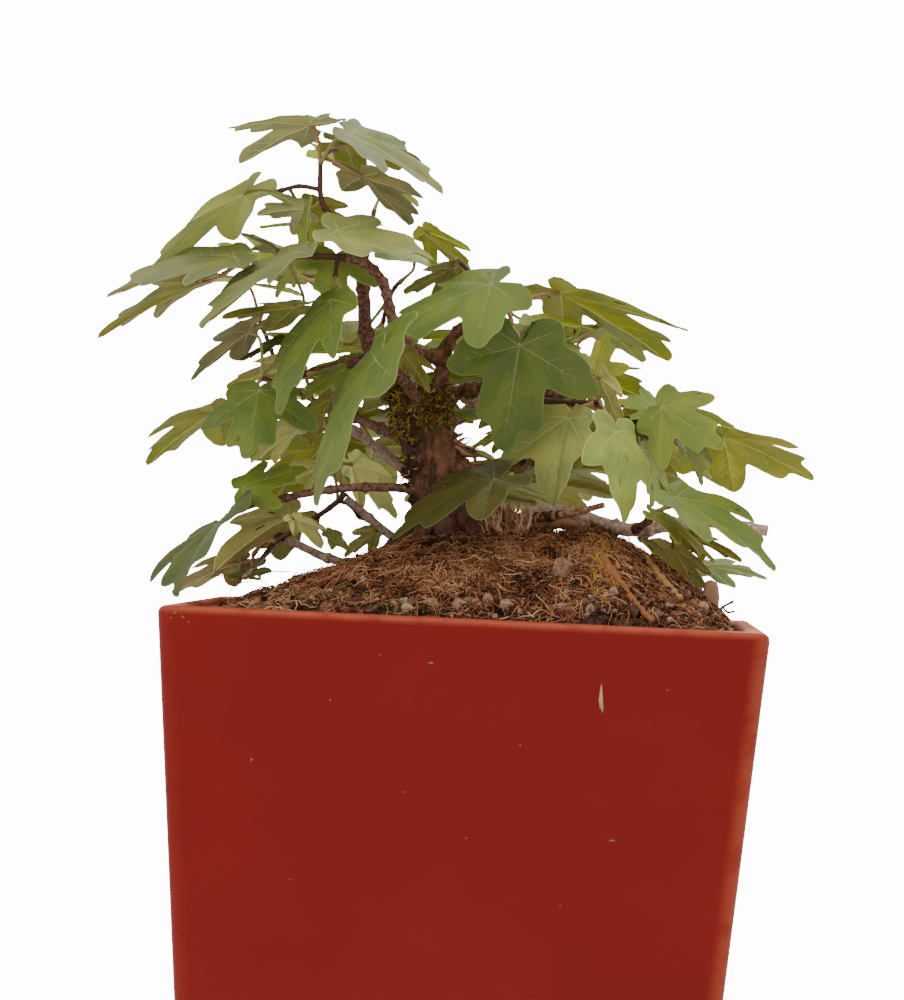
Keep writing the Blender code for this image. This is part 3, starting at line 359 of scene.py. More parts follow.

# The rim's flat top, where the glaze is thin and dull, and paler towards both ends, most at the right
dull, flow, shader = finish_of("thin_glaze", {"Roughness": 0.75, "Specular IOR Level": 0.0})
across = flow.along(0)
ends = across.rise(60 * MM, 70 * MM) + (1 - across.rise(-73 * MM, -68 * MM)) * 0.5
red = flow.grain(260, 3.0, 0.6).rise(0.3, 0.7).tint((0.36, 0.055, 0.028), (0.42, 0.08, 0.045))
feed(flow, shader, base=ends.tint(red, (0.8, 0.34, 0.27)))
for paint in (glaze, clay, dull):
    pot.data.materials.append(paint)
for face in pot.data.polygons:
    middle = face.center
    reach = half_at(middle.z)
    within = off_middle(middle.x, middle.y) < reach - WALL + 1.2 * MM
    face.material_index = 1 if within and middle.z < POT_HEIGHT - 0.8 * MM or middle.z < 0.2 * MM else 0
    on_top = off_middle(middle.x, middle.y) < reach - LIP_RADIUS * 0.8
    if on_top and middle.z > POT_HEIGHT - 1.3 * MM:
        face.material_index = 2


def only(piece):
    """Makes a piece the only one selected, and the active one."""
    bpy.ops.object.select_all(action="DESELECT")
    piece.select_set(True)
    bpy.context.view_layer.objects.active = piece


def settle(piece, slot, *nodes):
    """The piece stands for its solids and moves with the plant. The slot is not used."""
    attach(piece, "root")
    if nodes:
        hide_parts(*nodes)


only(pot)
bpy.ops.object.shade_smooth_by_angle(angle=math.radians(35))
settle(pot, "pot", "pot")


def on_front(px, py):
    """Where the ray through a pixel meets the pot's front face."""
    way = ray(px, py)
    spot = Vector((0, -RIM_WIDTH / 2, 0))
    for _ in range(6):
        spot = EYE + way * (spot.y - EYE.y)
        spot.y = -half_at(spot.z)
    return spot


class Batch:
    """Many small things that become one joined mesh."""

    def __init__(self):
        self.points = []
        self.faces = []
        self.marks = []
        self.soft = []

    def add(self, points, faces, mark, soft=True):
        """Adds a thing, with one material index for all its faces or a list with one for each."""
        start = len(self.points)
        self.points += points
        self.faces += [tuple(start + k for k in face) for face in faces]
        self.soft += [soft] * len(faces)
        if isinstance(mark, int):
            self.marks += [mark] * len(faces)
        else:
            self.marks += mark

    def make(self, name, materials, soft=True):
        """The mesh object, with each face's material, and smooth unless the whole piece is flat."""
        mesh = bpy.data.meshes.new(name)
        mesh.from_pydata(self.points, [], self.faces)
        for paint in materials:
            mesh.materials.append(paint)
        mesh.polygons.foreach_set("material_index", self.marks)
        mesh.polygons.foreach_set("use_smooth", self.soft if soft else [False] * len(self.faces))
        mesh.update()
        made = bpy.data.objects.new(name, mesh)
        bpy.context.scene.collection.objects.link(made)
        return made


# Flecks of dried lime and straw, thin discs that stick to the glaze of the front wall.
# Each has its pixel, width and height in millimetres, and lean in degrees.
FLECKS = [(601, 699, 1.1, 6.8, -4), (431, 663, 1.5, 0.6, 10), (251, 760, 0.6, 1.0, 30),
          (612, 840, 1.9, 0.5, 5), (174, 613, 1.2, 0.5, -20), (182, 617, 1.0, 0.5, 35),
          (188, 622, 0.6, 0.4, 0), (170, 618, 0.5, 0.4, 0), (330, 700, 0.5, 0.5, 0),
          (405, 792, 0.5, 0.4, 20), (520, 745, 0.4, 0.5, 0), (667, 690, 0.5, 0.5, 0),
          (290, 880, 0.5, 0.4, 0), (560, 905, 0.4, 0.5, 0), (466, 838, 0.6, 0.4, 45),
          (380, 655, 0.4, 0.4, 0)]
FLECK_RISE = Vector((0, 0.08 * MM, 0))
FLECK_SIDES = 10
flecks = Batch()
for px, py, wide, high, lean in FLECKS:
    middle = on_front(px, py)
    turn = Matrix.Rotation(math.radians(lean), 3, "Y")
    ring = []
    for k in range(FLECK_SIDES):
        angle = 2 * math.pi * k / FLECK_SIDES
        size = 1 + 0.25 * math.sin(3 * angle + px)
        spoke = Vector((math.cos(angle) * wide, 0, math.sin(angle) * high))
        ring.append(middle + turn @ spoke * size * MM / 2)
    for place in ring:
        place.y = -half_at(place.z)
    steps = [(k, (k + 1) % FLECK_SIDES) for k in range(FLECK_SIDES)]
    faces = [(a, b, FLECK_SIDES) for a, b in steps] + [(b, a, FLECK_SIDES + 1) for a, b in steps]
    flecks.add(ring + [middle - FLECK_RISE, middle + FLECK_RISE], faces, 0 if high > 3 else 1)
settle(flecks.make("flecks", [plain("straw_fleck", srgb(205, 160, 110), 0.8, 0.5),
                              plain("lime_fleck", srgb(150, 98, 74), 0.8, 0.5)]), "pot")

# The soil heap
# Dark peaty soil, heaped from the rim towards the trunk and laid over with moss fibre, crumbs and pumice.
# It is loose, and the pot holds it. The heap is a fine grid pulled up to the mound's height, with its foot
# on the pot's floor.
SOIL_EDGE = 166 * MM
SOIL_RISE = 27 * MM
MOUND_LEFT = -16 * MM
MOUND_RIGHT = 32 * MM
MOUND_FALL = 0.3
SOIL_GRID = 150
HOLLOW_REACH = (7.5 * MM, 4 * MM)
HOLLOW_DEPTH = 4.5 * MM
SIGHT_START = -76
SIGHT_STEP = 0.4
SIGHT_STEPS = 400
GAP = 0.3 * MM


def mound(x, y):
    """Height of the soil's surface."""
    if x < MOUND_LEFT:
        along = max(0, (x + INNER) / (MOUND_LEFT + INNER)) ** 0.8
    elif x > MOUND_RIGHT:
        along = max(0, (INNER - x) / (INNER - MOUND_RIGHT)) ** 0.65
    else:
        along = 1
    if x < MOUND_RIGHT:
        along *= 1 - MOUND_FALL * (MOUND_RIGHT - x) / (MOUND_RIGHT + INNER)
    return SOIL_EDGE + SOIL_RISE * along * max(0, 1 - (y / INNER) ** 2)


def dent(x, y):
    """Depth of the hollow behind the largest stone, from one at its middle to nothing at its edge."""
    return max(0, 1 - ((x - HOLLOW.x) / HOLLOW_REACH[0]) ** 2 - ((y - HOLLOW.y) / HOLLOW_REACH[1]) ** 2)


def ground(x, y):
    """Height of the soil with its lumps, and the hollow behind the largest stone."""
    spot = Vector((x, y, 0)) * 1000
    lumps = 1.1 * noise.noise(spot / 14) + 0.8 * noise.noise(spot / 5) + 0.5 * noise.noise(spot / 2)
    edge = min(1, (INNER - off_middle(x, y)) / (5 * MM))
    return mound(x, y) + lumps * MM * max(0.25, edge) - 0.2 * MM - HOLLOW_DEPTH * dent(x, y)


def on_soil(px, py):
    """Where the ray through a pixel meets the heap."""
    way = ray(px, py)
    for step in range(SIGHT_STEPS):
        spot = EYE + way * (-EYE.y + (step * SIGHT_STEP + SIGHT_START) * MM)
        if off_middle(spot.x, spot.y) < INNER and spot.z < mound(spot.x, spot.y):
            return spot
    return None


HOLLOW = on_soil(560, 560)
bpy.ops.object.select_all(action="DESELECT")
# Half the heap's width, at its edge and at its foot
HEAP_HALF = half_at(SOIL_EDGE) - WALL - 0.5 * MM
HEAP_FOOT_HALF = HEAP_HALF - SIDE_LEAN * (SOIL_EDGE - FLOOR)
bpy.ops.mesh.primitive_grid_add(x_subdivisions=SOIL_GRID, y_subdivisions=SOIL_GRID, size=2 * HEAP_HALF)
soil = bpy.context.object
soil.name = "soil_heap"
for v in soil.data.vertices:
    v.co.z = ground(v.co.x, v.co.y)
bpy.ops.object.mode_set(mode="EDIT")
bpy.ops.mesh.select_all(action="SELECT")
bpy.ops.mesh.region_to_loop()
bpy.ops.mesh.extrude_edges_move(TRANSFORM_OT_translate={"value": (0, 0, FLOOR + GAP - SOIL_EDGE)})
bpy.ops.object.mode_set(mode="OBJECT")
for v in soil.data.vertices:
    if v.co.z < SOIL_EDGE / 2:
        v.co = Vector((v.co.x * HEAP_FOOT_HALF / HEAP_HALF, v.co.y * HEAP_FOOT_HALF / HEAP_HALF, FLOOR + GAP))
bpy.ops.object.mode_set(mode="EDIT")
bpy.ops.mesh.edge_face_add()
bpy.ops.mesh.select_all(action="SELECT")
bpy.ops.mesh.normals_make_consistent(inside=False)
bpy.ops.object.mode_set(mode="OBJECT")
bpy.ops.object.shade_smooth_by_angle(angle=math.radians(50))

peat, flow, shader = finish_of("dark_peat", {"Specular IOR Level": 0.15})
clods = flow.grain(420, 5.0, 0.65)
damp = flow.grain(70, 3.0, 0.5).rise(0.35, 0.65)
feed(flow, shader, base=clods.rise(0.35, 0.68).tint(damp.tint((0.026, 0.011, 0.006), (0.042, 0.018, 0.01)),
                                                    (0.12, 0.056, 0.031)),
     roughness=clods * 0.1 + 0.88, bump=(clods, 0.9, 1.2 * MM))
soil.data.materials.append(peat)
settle(soil, "soil", "soil")


def tumbled(rng, axis):
    """A turn to any side, about Z and then another axis."""
    return Matrix.Rotation(rng.uniform(0, 6.28), 3, "Z") @ Matrix.Rotation(rng.uniform(0, 3.14), 3, axis)


def pebble(rng, place, size, flat):
    """A rough stone: a twenty-faced ball cut once more, with its corners pushed in and out."""
    turn = tumbled(rng, "X")
    seed = Vector([rng.uniform(0, 90) for _ in range(3)])
    shape = Vector((rng.uniform(0.75, 1.1), rng.uniform(0.7, 1), flat))
    out = []
    for spot in BALL_POINTS:
        swell = 1 + 0.44 * noise.noise(spot * 1.4 + seed) + 0.2 * noise.noise(spot * 3.4 + seed)
        out.append(place + turn @ (spot * shape) * size * swell)
    return out


def ball_of(cuts):
    """Points and faces of a ball with twenty faces, or eighty after two cuts."""
    ball = bmesh.new()
    bmesh.ops.create_icosphere(ball, subdivisions=cuts, radius=1)
    points = [v.co.copy() for v in ball.verts]
    faces = [tuple(v.index for v in f.verts) for f in ball.faces]
    ball.free()
    return points, faces


BALL_POINTS, BALL_FACES = ball_of(2)
CRUMB_POINTS, CRUMB_FACES = ball_of(1)

# Pumice and grit, one to three millimetres across, with a dozen larger stones named by pixel and size.
# They are rough and porous and lie half in the soil, most of them right of the trunk and along the front
# rim. A patch has its middle, spread and count.
STRAY_STONES = 130
rng = random.Random(11)
grit = Batch()
STONE_PATCHES = [((560, 602), (90, 20), 46), ((655, 598), (60, 22), 46), ((695, 610), (30, 12), 34),
                 ((480, 608), (60, 10), 30), ((400, 606), (60, 8), 14), ((560, 574), (60, 16), 12),
                 ((300, 598), (70, 8), 26)]
BIG_STONES = [(561, 578, 3.7), (632, 613, 1.8), (543, 600, 1.5), (487, 603, 1.9), (506, 611, 2.0),
              (702, 609, 2.2), (457, 609, 1.9), (668, 606, 1.4), (590, 612, 1.6), (434, 609, 1.5),
              (613, 598, 1.3), (652, 620, 1.5)]
stone_places = []
for (px, py), (wide, high), count in STONE_PATCHES:
    for _ in range(count):
        spot = on_soil(px + rng.gauss(0, wide / 2), py + rng.gauss(0, high / 2))
        if spot:
            stone_places.append((spot.x, spot.y))
for _ in range(STRAY_STONES):
    stone_places.append((rng.uniform(-64, 66) * MM, rng.uniform(-60, 66) * MM))
for px, py, size in BIG_STONES:
    spot = on_soil(px, py)
    stone_places.append((spot.x, spot.y, size))
for x, y, *given in stone_places:
    if off_middle(x, y) < HEAP_HALF - 2.5 * MM:
        size = (given or [rng.choice((0.5, 0.6, 0.8, 1.0, 1.3)) * rng.uniform(0.8, 1.15)])[0] * MM
        big = size > 3 * MM
        place = Vector((x, y, ground(x, y) + size * (0.6 if big else rng.uniform(0.15, 0.65))))
        tone = 2 if big else rng.choice((0, 1, 1, 2, 2, 3, 3, 4))
        grit.add(pebble(rng, place, size, 0.95 if big else rng.uniform(0.6, 0.95)), BALL_FACES, tone)
STONE_TONES = [(192, 156, 126), (170, 134, 106), (148, 112, 86), (122, 86, 64), (94, 62, 46)]
stones = []
for number, tone in enumerate(srgb(*tone) for tone in STONE_TONES):
    paint, flow, shader = finish_of("pumice_" + str(number), {"Specular IOR Level": 0.2})
    pores = flow.grain(1300, 3.0, 0.6)
    dark = tuple(c * 0.55 for c in tone)
    feed(flow, shader, base=pores.rise(0.35, 0.6).tint(dark, tone), roughness=pores * 0.1 + 0.8,
         bump=(pores, 0.7, 0.4 * MM))
    stones.append(paint)
settle(grit.make("pumice", stones, False), "soil")


def plains(kind, tones, roughness=0.8, specular=0.2):
    """One plain finish for each named tone of the photograph."""
    return [plain(kind + "_" + name, srgb(*tone), roughness, specular) for name, tone in tones.items()]


# Crumbs of soil and bark, up to two millimetres long, strewn over the whole heap.
# Each is a twenty-faced ball, stretched and turned at random, and partly sunk in the soil.
CRUMBS = 3600
crumbs = Batch()
for _ in range(CRUMBS):
    x, y = rng.uniform(-68, 68) * MM, rng.uniform(-68, 68) * MM
    size = rng.uniform(0.3, 0.95) * MM
    if off_middle(x, y) > HEAP_HALF - 1.6 * MM:
        continue
    place = Vector((x, y, ground(x, y) + size * 0.4))
    turn = tumbled(rng, "Y")
    shape = Vector((rng.uniform(0.6, 1.9), rng.uniform(0.6, 1), rng.uniform(0.4, 0.9)))
    points = [place + turn @ (p * shape) * size * rng.uniform(0.8, 1.15) for p in CRUMB_POINTS]
    crumbs.add(points, CRUMB_FACES, rng.choice((0, 0, 1, 1, 2, 3, 4)))
CRUMB_TONES = {"dark": (64, 36, 24), "brown": (102, 60, 40), "red": (132, 78, 52), "tan": (172, 128, 94),
               "black": (28, 18, 14)}
settle(crumbs.make("crumbs", plains("crumb", CRUMB_TONES, 0.9), False), "soil")


def thread(route, radii, sides):
    """Points and faces of a tapering tube along a route, closed at both ends."""
    points = []
    one = (route[1] - route[0]).orthogonal().normalized()
    for k, (place, radius) in enumerate(zip(route, radii)):
        way = (route[min(k + 1, len(route) - 1)] - route[max(k - 1, 0)]).normalized()
        one = (one - way * one.dot(way)).normalized()
        two = way.cross(one)
        for side in range(sides):
            turn = 2 * math.pi * side / sides
            points.append(place + (one * math.cos(turn) + two * math.sin(turn)) * radius)
    faces = []
    for ring in range(len(route) - 1):
        for side in range(sides):
            a, b = ring * sides + side, ring * sides + (side + 1) % sides
            faces.append((a, b, b + sides, a + sides))
    faces.append(tuple(reversed(range(sides))))
    faces.append(tuple(range(len(points) - sides, len(points))))
    return points, faces


def lay_thread(batch, x, y, stride, count, lift, thick, curl, mark):
    """One thread on the soil: it starts at a place, wanders with its own curl and rises in a low hump."""
    turn = rng.uniform(0, 6.28)
    bow = rng.uniform(-curl, curl)
    route = []
    for k in range(count):
        if off_middle(x, y) > HEAP_HALF - 1.2 * MM:
            break
        hump = math.sin(math.pi * k / (count - 1)) * lift
        route.append(Vector((x, y, ground(x, y) + 0.1 * MM + hump + rng.uniform(0, 0.3) * MM)))
        turn += bow + rng.uniform(-0.4, 0.4)
        x += math.cos(turn) * stride
        y += math.sin(turn) * stride
    if len(route) > 2:
        batch.add(*thread(route, [thick * (1 - 0.5 * k / count) for k in range(len(route))], 3), mark)


def mat_mark(x, y):
    """A thread's tone: dark in some patches of the mat and pale in others, and paler as painted light behind
    the heap's front strip.
    """
    patch = noise.noise(Vector((x, y, 0)) * 150) + 0.5 * noise.noise(Vector((x, y, 0)) * 420)
    # Painted light: threads behind the front strip of the heap are made paler against the shade that falls
    # there, and those at the left are paler as well.
    patch += 0.25 if y > -46 * MM or x < -30 * MM else 0
    if patch < -0.12:
        return rng.choice((0, 4, 4, 4, 1))
    if patch > 0.14:
        return rng.choice((1, 2, 2, 3, 3))
    return rng.choice((0, 0, 1, 1, 2, 4))


def mat_place(share):
    """A place for a thread: by the trunk's foot for this share of them, anywhere on the heap for the rest."""
    x, y = HOLLOW.x, HOLLOW.y
    while dent(x, y):
        spot = on_soil(rng.gauss(500, 85), rng.gauss(564, 22)) if rng.random() < share else None
        x, y = (spot.x, spot.y) if spot else (rng.uniform(-66, 66) * MM, rng.uniform(-66, 66) * MM)
    return x, y


# Moss fibre and curls: fine curved threads that lie over each other, thickest round the trunk's foot.
# A mat has its number of threads, the share by the foot, stride, steps, lift, thickness and curl.
# Sizes are in millimetres.
MATS = {"moss_fibre": (5200, 0.55, (0.7, 2.3), 5, (0.1, 1.6), (0.1, 0.22), 0.5),
        "moss_curls": (1700, 0.75, (0.7, 1.5), 10, (0.4, 1.8), (0.1, 0.19), 0.8)}
fibre_finishes = plains("fibre", {"umber": (108, 64, 40), "brown": (144, 87, 55), "rust": (166, 110, 74),
                                  "straw": (200, 154, 110), "dark": (46, 27, 18)})
for name, (number, share, stride, steps, lift, thick, curl) in MATS.items():
    mat = Batch()
    for _ in range(number):
        x, y = mat_place(share)
        lay_thread(mat, x, y, rng.uniform(*stride) * MM, steps, rng.uniform(*lift) * MM,
                   rng.uniform(*thick) * MM, curl, mat_mark(x, y))
    settle(mat.make(name, fibre_finishes, False), "soil")


def smooth(points, pieces):
    """Points along a Catmull-Rom curve through the given ones."""
    ends = [2 * points[0] - points[1]] + list(points) + [2 * points[-1] - points[-2]]
    out = []
    for a, b, c, d in zip(ends, ends[1:], ends[2:], ends[3:]):
        for step in range(pieces):
            t = step / pieces
            out.append(0.5 * (2 * b + (c - a) * t + (2 * a - 5 * b + 4 * c - d) * t * t
                              + (3 * b - a - 3 * c + d) * t ** 3))
    return out + [points[-1]]


def tapered(start, end, count):
    return [start + (end - start) * k / (count - 1) for k in range(count)]


def seen_curve(places, pieces):
    """A curve through what shows at some pixels and depths."""
    return smooth([seen(*place) for place in places], pieces)


def stick(places, pieces, thick, every, swell, sides):
    """A stick through some pixels and depths, which swells a little at every few of its rings."""
    route = seen_curve(places, pieces)
    return thread(route, [thick * MM * (1 + swell * (k % every == 0)) for k in range(len(route))], sides)


# Surface roots: tan runners that come out of the heap and dip back into it.
# Each is a lumpy tube through these pixels, with a radius at its start and end, and a tone.
SURFACE_ROOTS = [([(600, 558), (612, 575), (626, 594), (640, 612), (652, 624)], 1.25, 0.75, 0),
                 ([(622, 545), (640, 556), (652, 570), (664, 584), (680, 601)], 1.1, 0.8, 1),
                 ([(497, 586), (506, 594), (516, 604), (526, 612), (534, 619)], 0.55, 0.35, 1),
                 ([(585, 560), (600, 553), (616, 556), (630, 566)], 0.8, 0.5, 0),
                 ([(560, 548), (590, 552), (612, 560), (618, 570)], 0.6, 0.4, 1)]
runners = Batch()
for places, first, last, mark in SURFACE_ROOTS:
    path = [on_soil(*place) for place in places]
    route = smooth([spot + Vector((0, 0, first * 0.55 * MM)) for spot in path if spot], 10)
    sizes = [size * MM * rng.uniform(0.86, 1.14) for size in tapered(first, last, len(route))]
    points, faces = thread(route, sizes, 10)
    points = [spot + Vector((1, 1, 1)) * noise.noise(spot * 900) * first * 0.4 * MM for spot in points]
    runners.add(points, faces, mark)
settle(runners.make("surface_roots", plains("root", {"brown": (150, 96, 60), "tan": (190, 140, 84)})), "soil")


def tuft(batch, place, up, count, length, thick, marks):
    """A tuft of short curved threads that stand out from a place."""
    for _ in range(count):
        way = (up + Vector([rng.uniform(-0.8, 0.8) for _ in range(3)])).normalized()
        bow = Vector([rng.uniform(-0.5, 0.5) for _ in range(3)])
        reach = length * rng.uniform(0.5, 1.2)
        route = [place + (way * t + bow * t * t) * reach for t in (0, 0.4, 0.75, 1.0)]
        batch.add(*thread(route, [thick, thick * 0.9, thick * 0.7, thick * 0.3], 3), rng.choice(marks))


# Moss on the heap: yellow tufts right of the trunk and low green cushions at the left front.
# The tufts are short threads that stand in the soil. A spot has its middle, spread, count, length and tones.
MOSS_THICK = 0.17 * MM
FOOT_TUFTS = 260
MOSS_SPOTS = [((602, 566), (7, 13), 60, 1.7, (0, 1)), ((598, 586), (4, 8), 24, 1.7, (0, 1)),
              ((459, 580), (3, 5), 30, 1.0, (0,)), ((310, 597), (18, 4), 70, 0.8, (2, 3, 4)),
              ((350, 593), (12, 4), 44, 0.8, (2, 3, 4)), ((385, 604), (11, 4), 44, 0.8, (2, 3, 4)),
              ((410, 613), (10, 2), 20, 0.7, (2, 3)), ((590, 560), (30, 8), 20, 1.5, (0, 3))]
moss = Batch()
for (px, py), (wide, high), count, length, marks in MOSS_SPOTS:
    for _ in range(count):
        spot = on_soil(rng.gauss(px, wide), rng.gauss(py, high))
        if spot and off_middle(spot.x, spot.y) < HEAP_HALF - 2 * MM:
            spot.z = ground(spot.x, spot.y)
            tuft(moss, spot, Vector((0, -0.2, 1)), 7, rng.uniform(0.6, 1.4) * length * MM, MOSS_THICK, marks)
for _ in range(FOOT_TUFTS):
    x, y = seen(rng.uniform(500, 632), 530, 0).x, rng.uniform(-6, 8) * MM
    tuft(moss, Vector((x, y, ground(x, y))), Vector((0, 0, 1)), 5, rng.uniform(1.2, 3.4) * MM, MOSS_THICK,
         (0, 4, 5, 5, 5))
moss_finishes = plains("moss", {"ochre": (190, 146, 58), "yellow": (212, 172, 84), "green": (112, 122, 52),
                                "light": (150, 152, 84), "olive": (98, 88, 34), "brown": (124, 76, 46)})
settle(moss.make("moss_tufts", moss_finishes, False), "soil")

# A curled chip of bark and three dry twigs at the heap's right end, standing in the soil.
# The chip is a boxy ball with this middle and size, and a twig a tube that swells at its nodes.
CHIP = (62.5, -2.0, 177.0)
CHIP_SIZE = (4.6, 1.1, 9.5)
DRY_TWIGS = [([(699, 611), (708, 600), (717, 590)], 0.4), ([(712, 616), (722, 607), (733, 601)], 0.35),
             ([(722, 607), (727, 612), (734, 611)], 0.3)]
scraps = Batch()
chip_points = []
for spot in BALL_POINTS:
    boxy = Vector([math.copysign(abs(c) ** 0.6, c) for c in spot])
    swell = 1 + 0.2 * noise.noise(spot * 2.5)
    chip_points.append(Vector([middle + half_size * c * swell / 2
                               for middle, half_size, c in zip(CHIP, CHIP_SIZE, boxy)]) * MM)
scraps.add(chip_points, BALL_FACES, 0)
for places, thick in DRY_TWIGS:
    scraps.add(*stick(places, 4, thick, 4, 0.3, 6), 1)
settle(scraps.make("scraps", [plain("chip_pink", srgb(186, 142, 112)),
                              plain("twig_brown", srgb(112, 70, 52))]), "soil")

# The trunk
# A short stout trunk with rough dark bark, swollen where its limbs fork, and flaring into roots at the soil.
# It is one living piece: trunk, roots and the limbs' collars are fused into one skin, which then gets the
# bark's relief. The trunk has places and radii, and a root its direction, reach and radius.
TRUNK = [(449, 572, 0), (449, 550, 0), (441, 510, 0), (436, 470, 0), (427, 435, 0), (421, 416, 0),
         (427, 400, 0), (430, 392, 0)]
TRUNK_RADII = [13.0, 10.5, 7.6, 7.4, 7.6, 8.0, 5.6, 3.4]
ROOTS = [(-8, 27, 4.6), (48, 19, 3.4), (118, 20, 3.6), (176, 20, 3.4), (236, 19, 3.2), (300, 21, 3.8)]
# Each limb: its radius at the start and at the tip, and the pixels and depths that it passes
LIMBS = {
    "limb_upright": (2.3, 1.8, [(432, 412, -1), (442, 375, -2), (440, 352, -3)]),
    "limb_apex": (2.8, 1.3, [(420, 408, 2), (392, 377, 7), (368, 345, 11), (363, 290, 11), (354, 252, 6)]),
    "limb_ringed": (1.6, 1.1, [(440, 357, -3), (412, 350, -8), (392, 318, -10), (384, 284, -9),
                               (366, 263, -8), (347, 258, -8)]),
    "limb_upper_right": (1.5, 1.1, [(440, 360, -3), (461, 327, -8), (502, 311, -9)]),
    "limb_knobbed": (1.9, 1.2, [(432, 412, 3), (471, 387, 4), (526, 397, -3)]),
    "limb_far_right": (1.3, 1.0, [(486, 389, 4), (526, 390, 17), (582, 402, 21), (630, 424, 14)]),
    "limb_left": (1.6, 1.1, [(378, 360, 9), (348, 364, 5), (312, 372, -1)]),
    "limb_pale": (1.7, 1.2, [(430, 490, 3), (390, 458, 8), (352, 428, 16)]),
    "bough_low_left": (1.3, 0.9, [(432, 490, -2), (372, 487, -8), (320, 491, -10), (262, 503, -12)]),
    "bough_grey": (1.3, 1.1, [(440, 556, 3), (398, 541, 6), (346, 498, 8)]),
    "bough_ground": (1.5, 1.1, [(448, 545, 8), (400, 556, 22), (341, 562, 26), (286, 539, 26)]),
    "bough_low_right": (2.5, 1.5, [(462, 538, 2), (520, 521, 4), (562, 512, 4), (628, 530, 3), (700, 521, 2),
                                   (767, 531, 2)]),
    "shoot_young": (1.1, 0.8, [(532, 518, 3), (568, 514, -3), (604, 505, -6)]),
    "spur_right": (1.2, 0.9, [(634, 530, 3), (641, 526, -2), (650, 519, -6)]),
    "spur_right_rear": (1.2, 0.9, [(664, 524, 2), (672, 521, 10), (682, 523, 18)]),
    "limb_front": (1.6, 1.1, [(424, 420, -2), (412, 392, -14), (392, 366, -25)]),
    "limb_front_low": (1.4, 1.0, [(438, 470, 0), (480, 468, -10), (520, 462, -17)]),
    "limb_rear_top": (2.0, 1.2, [(424, 420, 3), (404, 372, 24), (392, 318, 38)]),
    "limb_rear_right": (1.9, 1.1, [(434, 440, 3), (470, 408, 26), (512, 384, 42)]),
    "limb_rear_left": (1.8, 1.1, [(430, 450, 3), (384, 430, 28), (336, 410, 42)]),
    "limb_rear_low": (1.7, 1.1, [(440, 500, 4), (448, 486, 30), (462, 470, 46)]),
}
LIMB_STEPS = 3
TRUNK_STEPS = 4
TRUNK_MIDDLE = (434, 450)
COLLAR_REACH = 34 * MM
COLLAR_RINGS = 9
BARK_VOXEL = 0.55 * MM


def limb_route(name):
    return seen_curve(LIMBS[name][2], LIMB_STEPS)


def limb_radii(name):
    start, end, places = LIMBS[name]
    return [radius * MM for radius in tapered(start, end, (len(places) - 1) * LIMB_STEPS + 1)]


def root_route(angle, reach):
    """A root from inside the trunk, down its flank and out along the soil."""
    turn = math.radians(angle)
    way = Vector((math.cos(turn), math.sin(turn), 0))
    heart = seen(*TRUNK[1])
    out = []
    for share, rise in ((0.0, 9), (0.38, 5.5), (0.7, 1.2), (1.0, -1.2)):
        place = heart + way * reach * share * MM
        place.z = mound(place.x, place.y) + rise * MM
        out.append(place)
    return smooth(out, 2)


def closer(route, radii, spacing):
    """The same limb with its rings at an even spacing."""
    places, sizes = [route[0]], [radii[0]]
    for a, b, first, last in zip(route, route[1:], radii, radii[1:]):
        count = max(1, round((b - a).length / spacing))
        for k in range(1, count + 1):
            places.append(a.lerp(b, k / count))
            sizes.append(first + (last - first) * k / count)
    return places, sizes


core = Batch()
route = seen_curve(TRUNK, TRUNK_STEPS)
radii = []
for low, high in zip(TRUNK_RADII, TRUNK_RADII[1:]):
    radii += [(low + (high - low) * k / TRUNK_STEPS) * MM for k in range(TRUNK_STEPS)]
radii.append(TRUNK_RADII[-1] * MM)
core.add(*thread(route, radii, 20), 0)
for angle, reach, radius in ROOTS:
    path = root_route(angle, reach)
    core.add(*thread(path, [size * MM for size in tapered(radius, 1.2, len(path))], 10), 0)
# Collars where limbs leave the trunk, and the knobs of old cuts round the fork: pixel, depth and size
for name in LIMBS:
    path, sizes = closer(limb_route(name), limb_radii(name), 1.2 * MM)
    if (path[0] - seen(*TRUNK_MIDDLE)).length < COLLAR_REACH:
        swollen = [s * (1.75 - 0.085 * k) for k, s in enumerate(sizes[:COLLAR_RINGS])]
        core.add(*thread(path[:COLLAR_RINGS], swollen, 10), 0)
KNOBS = [(404, 404, -4, 3.2), (398, 422, -3, 2.6), (446, 402, -3, 3.0), (412, 436, -7, 2.6),
         (452, 436, -5, 2.2), (424, 458, -6.5, 2.2), (408, 470, -3, 2.4), (455, 470, -3, 1.9),
         (420, 392, -2, 2.8), (470, 392, 2, 2.2), (390, 396, 2, 2.4), (405, 385, 4, 2.2),
         (418, 500, -5, 2.6), (452, 505, -5, 2.2)]
rng = random.Random(5)
for px, py, depth, size in KNOBS:
    core.add(pebble(rng, seen(px, py, depth), size * MM, 0.9), BALL_FACES, 0)
trunk = core.make("trunk_bark", [])
only(trunk)
# The parts become one skin, softened where they meet, and then broken up by ridges, lumps and grit
skin = trunk.modifiers.new("skin", "REMESH")
skin.mode = "VOXEL"
skin.voxel_size = BARK_VOXEL
bpy.ops.object.modifier_apply(modifier="skin")
soften = trunk.modifiers.new("soften", "SMOOTH")
soften.factor = 0.6
soften.iterations = 4
bpy.ops.object.modifier_apply(modifier="soften")
normals = [v.normal.copy() for v in trunk.data.vertices]
for v, normal in zip(trunk.data.vertices, normals):
    spot = v.co * 1000
    ridge = abs(noise.noise(Vector((spot.x / 1.9, spot.y / 1.9, spot.z / 5.5))))
    lumps = noise.noise(spot / 4.5)
    coarse = noise.noise(spot / 1.1)
    v.co += normal * (lumps * 0.8 - ridge * 0.75 + 0.15 + coarse * 0.2) * MM
trunk.data.polygons.foreach_set("use_smooth", [True] * len(trunk.data.polygons))

